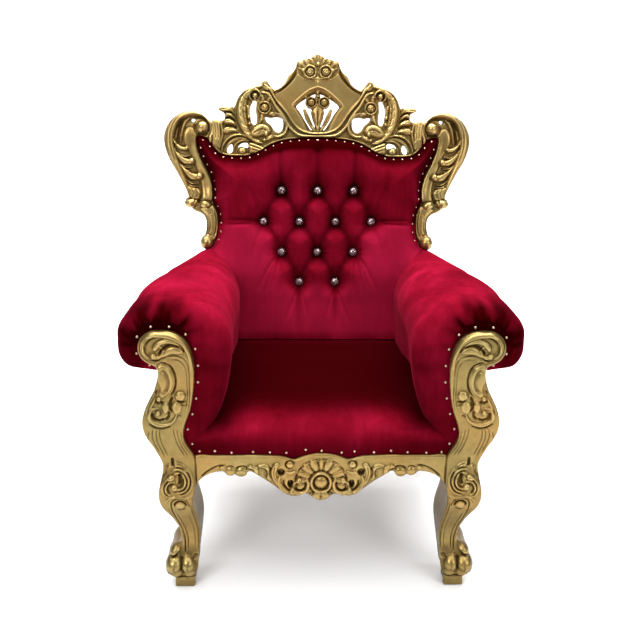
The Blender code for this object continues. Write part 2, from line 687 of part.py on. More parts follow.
def pad_block():
    """The inside back before it is trimmed to the frame."""
    near = [i * BUTTON_PITCH / 2 for i in range(-4, 5)]
    side = [0.236, 0.268, 0.302, 0.335, 0.370]
    columns = [-u for u in reversed(side)] + near + side
    rows = [0.360, 0.470, 0.545, 0.585]
    top_row, low_row = BUTTON_ROWS[0][0] * MM, BUTTON_ROWS[-1][0] * MM
    rows += [low_row + (top_row - low_row) * i / 6 for i in range(7)]
    rows += [0.925, 0.962, 0.994, 1.024, 1.065]
    across = len(columns)
    verts = [(u, -pad_depth(u, v), v) for v in rows for u in columns]
    faces = []
    for r in range(len(rows) - 1):
        for c in range(across - 1):
            a = r * across + c
            faces.append([a, a + 1, a + across + 1, a + across])
    front = len(verts)
    rim = list(range(across)) + [r * across + across - 1 for r in range(1, len(rows))]
    rim += [front - 2 - c for c in range(across - 1)] + [r * across for r in range(len(rows) - 2, 0, -1)]
    verts += [(verts[i][0], -PAD_BACK, verts[i][2]) for i in rim]
    for k in range(len(rim)):
        n = (k + 1) % len(rim)
        faces.append([rim[k], rim[n], front + n, front + k])
    faces.append([front + k for k in range(len(rim))])
    return flatten(solid(verts, faces))


def back_pad():
    """The inside back, trimmed to the openings of the carved frame."""
    pad = pad_block()
    outline = PAD_OUTLINE + flipped(PAD_OUTLINE[-2::-1])
    combine(pad, [board(outline, -0.2, 0.2)], "INTERSECT")
    wing_trim = grown(board(wing_outline(), -0.1, 0.1), 2 * GAP)
    crest_trim = grown(board(CREST_TOP[::-1] + flipped(CREST_TOP[1:] + CREST_RIM) + CREST_RIM[-2::-1],
                             -0.1, 0.1))
    return combine(pad, [wing_trim, mirrored(wing_trim), crest_trim], "DIFFERENCE")


def back_panel():
    """Flat outside cover of the back."""
    half = [(0, 377), (356, 377), (356, 630), (344, 680), (316, 722), (302, 745), (302, 850),
            (318, 940), (318, 985), (262, 996), (200, 1000), (120, 1028), (0, 1046)]
    return board(half + flipped(half[-2:0:-1]), PAD_BACK - 0.008, PAD_BACK - GAP)


def button():
    """A cut crystal: flat back, six-sided girdle and smaller flat table."""
    rings = []
    for share, depth in ((1.0, 0.0), (0.62, 0.005)):
        ring = []
        for i in range(6):
            angle = 2 * math.pi * i / 6
            ring.append((BUTTON_RADIUS * share * math.cos(angle), -depth,
                         BUTTON_RADIUS * share * math.sin(angle)))
        rings.append(ring)
    return loft(rings)


# ---- plain hidden members ---------------------------------------------------------------------------
def block(low, high, chamfer):
    """A rail with its long lower edges eased."""
    x0, y0, z0 = low
    x1, y1, z1 = high
    section = [(x0, z0 + chamfer), (x0 + chamfer, z0), (x1 - chamfer, z0), (x1, z0 + chamfer),
               (x1, z1), (x0, z1)]
    return loft([[(x, y, z) for x, z in section] for y in (y0, y1)])


def rear_leg():
    """A square leg swept back to the floor."""
    fore, aft = (y / MM for y in REAR_LEG_Y)
    front = smooth([(fore, 300), (150, 210), (200, 110), (357, 0)], 8)
    back = smooth([(REAR_FOOT_Y / MM, 0), (266, 116), (208, 214), (aft, 300)], 8)
    side = [(fore, 363)] + front + back + [(aft, 363)]
    return loft([[(x, y * MM, z * MM) for y, z in side] for x in REAR_LEG_X])


# ---- the throne -------------------------------------------------------------------------------------
def build():
    clear_scene()
    gold = material("gilt_wood", GOLD, 0.32, 0.9)
    velvet = material("velvet", VELVET, 0.85, 0.0)
    crystal = material("crystal", CRYSTAL, 0.08, 0.0)

    raked = bpy.data.objects.new("raked_back", None)
    bpy.context.scene.collection.objects.link(raked)
    raked.location = (0.0, BACK_FOOT_Y, 0.0)
    raked.rotation_euler = (-RAKE, 0.0, 0.0)
    bpy.context.view_layer.update()

    pair(front_post(), "front_post", gold)
    finish(front_rail(), "front_rail", gold)
    side_rail = block((SIDE_RAIL_X[0], LEG_BACK_Y + GAP, RAIL_BOTTOM),
                      (SIDE_RAIL_X[1], REAR_LEG_Y[0] - GAP, RAIL_TOP), 0.008)
    pair(side_rail, "side_rail", gold)
    pair(rear_leg(), "rear_leg", gold)
    inside = REAR_LEG_X[0] - GAP
    rear_rail = block((-REAR_LEG_Y[1], -inside, RAIL_BOTTOM), (-REAR_LEG_Y[0], inside, RAIL_TOP), 0.008)
    rear_rail.rotation_euler = (0.0, 0.0, math.radians(-90))
    settle(rear_rail)
    finish(rear_rail, "rear_rail", gold)
    pair(wing(), "wing", gold, raked)
    finish(crest(), "crest", gold, raked)

    posts = [grown(copied(bpy.data.objects["front_post_" + side])) for side in ("left", "right")]
    arm_right = arm()
    combine(arm_right, [copied(posts[1])], "DIFFERENCE")
    arms = (arm_right, mirrored(arm_right))
    seat_body = seat()
    rail_trim = grown(copied(bpy.data.objects["front_rail"]))
    seat_trim = grown(copied(seat_body))
    combine(seat_body, [grown(copied(body)) for body in arms] + posts + [rail_trim], "DIFFERENCE")
    pad = back_pad()
    into_pad = raked.matrix_world.inverted()
    trims = [seat_trim] + [grown(copied(body)) for body in arms]
    for trim in trims:
        trim.data.transform(into_pad)
    combine(pad, trims, "DIFFERENCE")
    without_crumbs(pad)
    finish(seat_body, "seat", velvet)
    finish(arms[0], "arm_right", velvet)
    finish(arms[1], "arm_left", velvet)
    pair(arm_panel(), "arm_panel", velvet)
    finish(pad, "back_pad", velvet, raked)
    finish(back_panel(), "back_panel", velvet, raked)

    gem = button()
    for number, (u, v) in enumerate(button_places(), start=1):
        stone = bpy.data.objects.new("button", gem.data)
        bpy.context.scene.collection.objects.link(stone)
        finish(stone, f"button_{number}", crystal, raked, rounded=False)
        stone.location = (u, -(pad_depth(u, v) + BUTTON_STAND), v)
    bpy.data.objects.remove(gem, do_unlink=True)


build()
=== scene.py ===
"""Throne: looks, carving relief and upholstery over the CAD frame.

World frame as in the CAD: +X viewer's right, -Y front, +Z up, metres.
"""
import math

import bmesh
import bpy
import numpy as np
from mathutils import Matrix, Vector
from mathutils.geometry import delaunay_2d_cdt


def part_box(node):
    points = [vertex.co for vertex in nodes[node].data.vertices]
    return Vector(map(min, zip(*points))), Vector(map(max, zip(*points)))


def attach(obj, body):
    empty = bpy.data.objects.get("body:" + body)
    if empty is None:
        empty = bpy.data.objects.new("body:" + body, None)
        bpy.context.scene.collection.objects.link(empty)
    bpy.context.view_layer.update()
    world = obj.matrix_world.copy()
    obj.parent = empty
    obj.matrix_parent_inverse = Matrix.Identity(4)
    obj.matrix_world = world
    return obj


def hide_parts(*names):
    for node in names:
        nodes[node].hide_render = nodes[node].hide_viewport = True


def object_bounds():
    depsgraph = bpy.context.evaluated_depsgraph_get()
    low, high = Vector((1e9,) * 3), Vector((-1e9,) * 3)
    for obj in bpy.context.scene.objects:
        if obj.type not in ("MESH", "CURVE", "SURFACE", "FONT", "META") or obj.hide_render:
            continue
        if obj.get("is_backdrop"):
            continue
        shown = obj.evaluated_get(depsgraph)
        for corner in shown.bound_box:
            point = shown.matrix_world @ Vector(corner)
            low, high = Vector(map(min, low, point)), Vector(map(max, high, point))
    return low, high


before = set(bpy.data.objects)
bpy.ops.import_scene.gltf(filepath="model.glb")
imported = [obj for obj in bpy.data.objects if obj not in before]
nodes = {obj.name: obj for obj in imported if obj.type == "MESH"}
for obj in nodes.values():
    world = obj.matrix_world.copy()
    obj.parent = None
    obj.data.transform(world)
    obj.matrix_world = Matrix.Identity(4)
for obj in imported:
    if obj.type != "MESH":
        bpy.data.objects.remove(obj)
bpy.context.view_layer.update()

MM = 0.001
RAKE = math.radians(12.0)
BACK_FOOT_Y = 0.0822              # where the carving plane of the back meets the floor
BACK_FOOT = BACK_FOOT_Y / MM
GRAIN = 1.3     # spacing of the carving grids, mm
RNG = np.random.default_rng(11)

scene = bpy.context.scene


# ---- carving kit ----
# A carving is a grid of heights over the plane of its board. u runs across, v up and the height h out
# towards the front, all in millimetres. Scrolls, leaves, roses and grooves are laid on the grid one
# after another; the finished grid becomes one closed mesh with rounded edges.
def curve_through(points, steps=8, closed=False):
    """A Catmull-Rom curve through the points, steps to a span."""
    p = np.array(points, float)
    ends = [p[-1], p, p[0], p[1]] if closed else [2 * p[0] - p[1], p, 2 * p[-1] - p[-2]]
    ends = np.vstack(ends)
    rows = []
    for k in range(len(ends) - 3):
        a, b, c, d = ends[k:k + 4]
        for i in range(steps):
            t = i / steps
            rows.append(0.5 * (2 * b + (c - a) * t + (2 * a - 5 * b + 4 * c - d) * t * t
                               + (3 * b - a - 3 * c + d) * t ** 3))
    if not closed:
        rows.append(p[-1])
    return np.array(rows)


def path_of(points, steps):
    """The curve through the points, or the points themselves where steps is 0."""
    return curve_through(points, steps) if steps else np.array(points, float)


def even_points(path, count=None, gap=None, start=0.0):
    """Points spread evenly along a path, by number or by distance, and how far along each one is."""
    run = np.concatenate([[0], np.cumsum(np.hypot(*np.diff(path, axis=0).T))])
    at = np.linspace(start, run[-1], count or max(2, int(round((run[-1] - start) / gap)) + 1))
    return np.stack([np.interp(at, run, path[:, k]) for k in (0, 1)], 1), at


def spiral_path(centre, outer, inner, start, end, steps=30):
    """Points on a spiral whose radius shrinks from outer to inner, angles in degrees."""
    t = np.linspace(0, 1, steps + 1)
    radius = outer + (inner - outer) * t ** 0.85
    angle = np.radians(start + (end - start) * t)
    return np.stack([centre[0] + radius * np.cos(angle), centre[1] + radius * np.sin(angle)], 1)


def arc_points(centre, radius_u, radius_v, count, start=0, end=360):
    """Points on an ellipse, angles in degrees."""
    angles = np.radians(np.linspace(start, end, count, endpoint=end - start < 360))
    return np.stack([centre[0] + radius_u * np.cos(angles), centre[1] + radius_v * np.sin(angles)], 1)


def bump(x):
    """A smooth step from 0 to 1 as x goes from 0 to 1."""
    x = np.clip(x, 0, 1)
    return x * x * (3 - 2 * x)


def bell(x):
    return np.exp(-x ** 2)


def blurred(field, radius, weight=None):
    """The field averaged over a square window, three passes."""
    if weight is None:
        weight = np.ones_like(field)
    wide = 2 * radius + 1

    def slide(grid):
        total = np.cumsum(np.pad(grid, ((radius + 1, radius), (0, 0)), mode="edge"), axis=0)
        return (total[wide:] - total[:-wide]) / wide

    top, low = field * weight, weight.astype(float)
    for _ in range(3):
        top, low = (slide(slide(grid).T).T for grid in (top, low))
    return top / np.maximum(low, 1e-6)


class Carving:
    """The height grid of one carved piece. Its ground lies at one height, and forms stand on a base."""

    def __init__(self, low, high, step, ground=0.0, base=0.0):
        self.step, self.base = step, base
        self.u = np.arange(low[0], high[0] + step, step)
        self.v = np.arange(low[1], high[1] + step, step)
        self.U, self.V = np.meshgrid(self.u, self.v)
        self.inside = np.full(self.U.shape, -99.0)
        self.h = np.full(self.U.shape, float(ground))
        self.shade = None             # painted shade of a cloth, as how far its pile lies down

    def window(self, lo, hi):
        i = np.clip(np.searchsorted(self.u, [lo[0], hi[0]]), 0, len(self.u))
        j = np.clip(np.searchsorted(self.v, [lo[1], hi[1]]), 0, len(self.v))
        return slice(j[0], j[1]), slice(i[0], i[1])

    def near(self, path, reach):
        """Window round a path; there, the distance to it and the share of its length."""
        win = self.window(path.min(0) - reach, path.max(0) + reach)
        U, V = self.U[win], self.V[win]
        steps = np.diff(path, axis=0)
        lengths = np.hypot(*steps.T)
        starts = np.concatenate([[0], np.cumsum(lengths)])
        best = np.full(U.shape, 1e9)
        share = np.zeros(U.shape)
        for (au, av), (du, dv), length, start in zip(path, steps, lengths, starts):
            if length < 1e-9:
                continue
            pu, pv = U - au, V - av
            t = np.clip((pu * du + pv * dv) / length ** 2, 0, 1)
            gap = np.hypot(pu - t * du, pv - t * dv)
            closer = gap < best
            best = np.where(closer, gap, best)
            share = np.where(closer, (start + t * length) / starts[-1], share)
        return win, best, share

    def polygon(self, outline, smooth=0, reach=30):
        """Signed distance to a closed outline, positive inside."""
        if smooth:
            outline = curve_through(outline, smooth, closed=True)
        outline = np.array(outline, float)
        loop = np.vstack([outline, outline[:1]])
        win, gap, _ = self.near(loop, reach)
        U, V = self.U[win], self.V[win]
        crossings = np.zeros(U.shape, int)
        for (au, av), (bu, bv) in zip(loop[:-1], loop[1:]):
            if av != bv:
                spans = (V >= min(av, bv)) & (V < max(av, bv))
                crossings += spans & (U < au + (V - av) / (bv - av) * (bu - au))
        return win, np.where(crossings % 2 == 1, gap, -gap)

    def grow(self, win, gap):
        """Take in the area where gap is positive."""
        self.inside[win] = np.maximum(self.inside[win], gap)

    def pierce(self, outline, smooth):
        """Cut an opening through the board."""
        win, gap = self.polygon(outline, smooth)
        self.inside[win] = np.minimum(self.inside[win], -gap)

    def lay(self, win, where, lift, base=None):
        """Let a form stand on the grid where it is higher than what is there."""
        top = np.where(where, (self.base if base is None else base) + lift, -99)
        self.h[win] = np.maximum(self.h[win], top)

    def scroll(self, points, widths, height, rise=None, base=None, soft=False, grow=False, steps=8):
        """A moulding along a curve. widths and rise are given at even steps along it."""
        win, gap, share = self.near(path_of(points, steps), max(widths) / 2 + 3)
        half = np.interp(share, np.linspace(0, 1, len(widths)), widths) / 2
        x = gap / half
        body = 1 - np.clip(x, 0, 1) ** 2
        body = body ** 0.9 if soft else np.sqrt(body)
        if rise is None:
            lift = height * (0.45 + 0.55 * half / (max(widths) / 2))
        else:
            lift = height * np.interp(share, np.linspace(0, 1, len(rise)), rise)
        self.lay(win, x < 1, lift * body, base)
        if grow:
            self.grow(win, half - gap)

    def leaf(self, *leaves, base=None, grow=False):
        """Carved leaves, each given as root, tip, width, height, bend and lobes: lobed edge, grooved
        middle, veins and a tip that turns up."""
        for root, tip, width, height, bend, lobes in leaves:
            self.one_leaf(np.array(root, float), np.array(tip, float) - root, width, height, bend, lobes,
                          base, grow)

    def one_leaf(self, root, along, width, height, bend, lobes, base, grow):
        across = np.array([-along[1], along[0]]) / np.hypot(*along)
        t = np.linspace(0, 1, 13)[:, None]
        win, gap, share = self.near(root + along * t + across * (bend * 4 * t * (1 - t)), width / 2 + 3)
        outline = np.sin(np.pi * np.clip(share * 0.86 + 0.14, 0, 1) ** 0.9) ** 0.62
        teeth = 1 - 0.22 * np.abs(np.sin(np.pi * lobes * share)) ** 3
        half = np.maximum(0.5 * width * outline * teeth, 0.4)
        x = np.clip(gap / half, 0, 1)
        body = (1 - x ** 2.2) ** 0.55 * (0.72 + 0.28 * (1 - x)) * (1 - 0.22 * bell(x / 0.16))
        veins = 0.5 + 0.5 * np.cos(2 * np.pi * lobes * (share - 0.30 * x + 0.5 / lobes))
        body = body * (1 - 0.20 * veins ** 3 * x ** 0.5)
        swell = 0.62 + 0.35 * np.sin(np.pi * np.clip(share * 1.25 - 0.2, 0, 1)) + 0.06 * share
        self.lay(win, gap < half, height * body * swell, base)
        if grow:
            self.grow(win, half - gap)

    def pillow(self, *forms, base=None, smooth=5, lean=0.0):
        """Swollen areas, each given as its height, the width over which it rises and its outline. lean
        tilts their tops."""
        for height, edge, *outline in forms:
            win, gap = self.polygon(outline, smooth, 4)
            tilt = (self.V[win] - np.mean(outline, 0)[1]) * lean
            x = np.clip(gap / edge, 0, 1)
            self.lay(win, gap > 0, (height + tilt) * np.sqrt(1 - (1 - x) ** 2), base)

    def sink(self, outline, depth, edge, smooth=4):
        """Press an area down by a depth with soft sides."""
        win, gap = self.polygon(outline, smooth, 4)
        self.h[win] -= depth * bump((gap + 0.5 * edge) / edge)

    def rose(self, centre, radius, height, base, grow=True, turn=0.0, petals=5):
        """A rosette: a scalloped ring, a deep hollow and a round bud with a coil cut into it."""
        c = np.array(centre, float)
        win = self.window(c - radius * 1.15, c + radius * 1.15)
        du, dv = self.U[win] - c[0], self.V[win] - c[1]
        r = np.hypot(du, dv) / radius
        a = np.arctan2(dv, du) + turn
        scallop = np.abs(np.cos(petals * a / 2))
        edge = 0.95 + 0.05 * scallop
        ring = np.sqrt(np.clip(1 - ((r - 0.84 * edge) / (0.16 * edge)) ** 2, 0, 1))
        ring = ring * (0.70 + 0.10 * scallop)
        bud = 0.46 + 0.40 * np.sqrt(np.clip(1 - (r / 0.54) ** 2, 0, 1))
        coil = np.mod(r / 0.27 - a / (2 * np.pi), 1)
        bud = bud - 0.30 * bell((coil - 0.5) / 0.17) * bump((r - 0.06) / 0.1)
        body = np.where(r < 0.54, bud, np.maximum(ring, -0.10))
        self.h[win] = np.where(r < edge, base + height * body, self.h[win])
        if grow:
            self.grow(win, radius * (edge - r))

    def ball(self, *balls, base=None, power=0.5):
        """Rounded knobs, each given as centre, radius, height and, where it is stretched, by how much
        and in which direction in degrees."""
        for centre, radius, height, *shape in balls:
            stretch, turn = shape or (1.0, 0)
            c = np.array(centre, float)
            reach = radius * stretch
            win = self.window(c - reach, c + reach)
            du, dv = self.U[win] - c[0], self.V[win] - c[1]
            k, s = np.cos(np.radians(turn)), np.sin(np.radians(turn))
            r = np.hypot((du * k + dv * s) / stretch, -du * s + dv * k) / radius
            self.lay(win, r < 1, height * np.clip(1 - r * r, 0, 1) ** power, base)
            self.grow(win, radius * (1 - r))

    def groove(self, *lines, ends=0.15, steps=8):
        """Incised lines that fade at both ends, each given as its width, depth and points."""
        for width, depth, *points in lines:
            win, gap, share = self.near(path_of(points, steps), width * 1.6)
            fade = bump(share / ends) * bump((1 - share) / ends) if ends else 1.0
            self.h[win] -= depth * fade * bell(gap / (0.5 * width))

    def mirror(self):
        """The whole symmetric carving from its half at +u. The first column stands on the middle."""
        self.u = np.concatenate([-self.u[:0:-1], self.u])
        self.U, self.V = np.meshgrid(self.u, self.v)
        for name in ("inside", "h", "shade"):
            half = getattr(self, name)
            if half is not None:
                setattr(self, name, np.concatenate([half[:, :0:-1], half], axis=1))
        return self


# ---- wing ----
WING_OUTLINE = [(302, 1015), (312, 1028), (326, 1037), (343, 1038), (343, 1015), (337, 995), (326, 970),
    (314, 948), (305, 928), (299, 902), (298, 875), (300, 856), (291, 840), (284, 820), (282, 795),
    (284, 765), (291, 740), (302, 722), (318, 716), (334, 722), (339, 737), (335, 752), (325, 763),
    (321, 785), (323, 806), (334, 820), (352, 827), (364, 836), (378, 840), (384, 850), (380, 862),
    (372, 872), (386, 906), (405, 940), (424, 974), (437, 1008), (441, 1038), (435, 1062), (422, 1083),
    (403, 1099), (380, 1109), (355, 1111), (332, 1103), (314, 1088), (302, 1074)]


def carve_wing(step):
    """The scrolled side of the back."""
    c = Carving((272, 706), (450, 1122), step, ground=2, base=2)
    c.grow(*c.polygon(WING_OUTLINE, 3))
    # smooth hollow band beside the velvet
    c.pillow((11, 13, (340, 1050), (352, 1064), (370, 1068), (384, 1054), (386, 1030), (376, 1008),
             (364, 985), (354, 960), (345, 935), (336, 905), (334, 880), (336, 860), (320, 850), (301, 858),
             (300, 880), (303, 905), (313, 935), (327, 962), (338, 990), (344, 1015), (345, 1036)), base=1)
    c.groove((24, 5.0, (362, 1050), (362, 1020), (352, 985), (338, 950), (324, 912), (318, 880),
             (318, 860)), ends=0.2)
    # outer rim: thin over the eye, broad and fluted down the side
    c.scroll([(306, 1052), (306, 1074), (316, 1091), (334, 1101), (356, 1104), (380, 1099)],
             [7, 11, 14, 15, 17, 22], 20, [0.6, 0.8, 1, 1, 1, 1], base=1)
    c.scroll([(366, 1102), (390, 1094), (409, 1077), (421, 1050), (423, 1015), (413, 978), (396, 940),
             (380, 904), (368, 868)], [16, 25, 32, 36, 36, 33, 30, 24, 12], 20,
             [1, 1, 1, 1, 1, 1, 0.95, 0.85, 0.6], soft=True)
    c.groove((4.5, 6, (374, 1095), (392, 1082), (404, 1058), (409, 1028), (406, 1002), (398, 980)),
             (3.4, 4, (380, 1101), (402, 1087), (417, 1060), (421, 1024), (414, 990), (400, 955)),
             (3.4, 4, (392, 1102), (414, 1084), (429, 1052), (432, 1016), (421, 976), (404, 940),
              (388, 905)))
    c.scroll([(366, 1090), (378, 1078), (386, 1060), (390, 1040), (392, 1022)], [6, 9, 9, 8, 5], 13)
    c.groove((8, 13, (384, 1086), (393, 1068), (397, 1048), (400, 1030), (402, 1016)), ends=0.15)
    # curls that leave the rim and roll towards the velvet, each over small folds
    for path, widths, tip, size in (
            (((414, 1036), (404, 1018), (390, 1006), (376, 1004)), (4, 9, 14, 13), (375, 1005), 7),
            (((408, 1004), (398, 986), (380, 970), (363, 968)), (6, 15, 21, 19), (361, 969), 10.5),
            (((392, 958), (378, 942), (358, 926), (340, 926)), (6, 16, 24, 21), (338, 927), 11.5)):
        c.scroll(path, widths, 17, [0.8, 1, 1, 1])
        c.ball((tip, size, 20, 1.15, 0))
        c.groove((3.2, 5, *((u + 1, v + 0.42 * w + 1) for (u, v), w in zip(path, widths))))
    for line in (((400, 994), (382, 983), (366, 986)), ((398, 966), (382, 953), (362, 951)),
                 ((392, 956), (380, 945), (366, 942)), ((380, 922), (362, 907), (342, 906)),
                 ((376, 910), (362, 899), (344, 898))):
        c.scroll(line, [4, 7, 5], 14)
    c.pillow((15, 11, (378, 904), (360, 898), (342, 893), (333, 884), (334, 873), (341, 861), (354, 858),
             (366, 866), (375, 882)))
    c.groove((4.5, 4, (350, 892), (345, 879), (348, 864)), (3.5, 2.5, (362, 892), (358, 878), (360, 866)))
    # eye of the scroll in its hollow
    c.groove((8, 9, (315, 1082), (328, 1093), (346, 1094), (358, 1086)), ends=0.2)
    c.groove((6, 6, (350, 1078), (352, 1062), (344, 1048), (328, 1043), (313, 1050)))
    c.ball(((329, 1065), 19, 25), base=1)
    # knobs at the waist
    c.ball(((362, 851), 13.5, 20, 1.55, -6))
    c.groove((5, 7, (340, 862), (345, 850), (356, 839)), (3.5, 3.5, (351, 864), (353, 851), (362, 841)))
    c.ball(((321, 846), 13.5, 20, 1.4, 18))
    c.groove((4, 4, (303, 852), (318, 857), (334, 858)))
    # stem below the waist
    c.pillow((13, 12, (300, 846), (288, 820), (286, 795), (288, 765), (297, 742), (318, 742), (328, 756),
             (318, 768), (316, 790), (319, 812), (330, 826), (338, 836)))
    c.groove((4, 3.5, (300, 836), (293, 815), (291, 792), (294, 766), (302, 748)),
             (3.5, 2.5, (322, 826), (313, 806), (311, 784), (315, 764)))
    # small folds across the stem
    c.groove(*((2.5, 1.8, (306, v), (316, v - 3)) for v in (820, 813, 806, 799)), steps=0)
    c.ball(((319, 738), 19.5, 23), base=1)
    c.groove((4, 5, (303, 757), (318, 762), (333, 756)))
    c.pierce(arc_points((356, 1085), 6, 5, 12), 2)
    # level with the crest where the two meet
    c.pillow((11, 7, (250, 1080), (250, 1008), (306, 1016), (314, 1034), (311, 1046), (306, 1056),
             (306, 1076)))
    c.h = 3.5 + 0.82 * c.h
    return c


# ---- front post ----
VOLUTE = (374, 633)               # middle of the scroll under the arm
POST_OUTLINE = [(297, 363), (309, 386), (318, 405), (320, 422), (315, 445), (306, 470), (299, 495),
    (293, 530), (290, 565), (290, 600), (294, 625), (304, 647), (320, 663), (343, 673),
    *arc_points(VOLUTE, 41, 41, 9, 100, -70), (376, 588), (373, 575), (376, 555), (383, 532), (393, 512),
    (403, 492), (411, 470), (415, 448), (412, 425), (403, 405), (391, 384), (379, 362), (372, 342),
    (374, 320), (379, 297), (384, 272), (384, 248), (377, 226), (363, 202), (351, 177), (343, 150),
    (341, 120), (349, 108), (361, 97), (366, 82), (374, 68), (379, 52),
    (375, 38), (366, 31), (357, 28), (357, 14), (357, 2), (345, 0), (320, 0), (309, 2), (308, 14),
    (308, 30), (301, 48), (299, 75), (296, 105), (293, 140), (294, 170), (299, 200), (304, 235), (302, 258),
    (297, 283), (296, 320)]
# depth of its front and rear at heights over the floor
LEG_FRONT = [(0, -393), (30, -393), (48, -393), (66, -389), (84, -381), (100, -374), (120, -369),
    (155, -374), (190, -388), (225, -402), (265, -409), (290, -407), (330, -400), (700, -400)]
LEG_REAR = [(0, -347), (34, -345), (65, -322), (105, -288), (145, -268), (185, -266), (235, -278),
    (280, -294), (300, -300), (352, -300), (363, -330), (368, -368), (700, -368)]


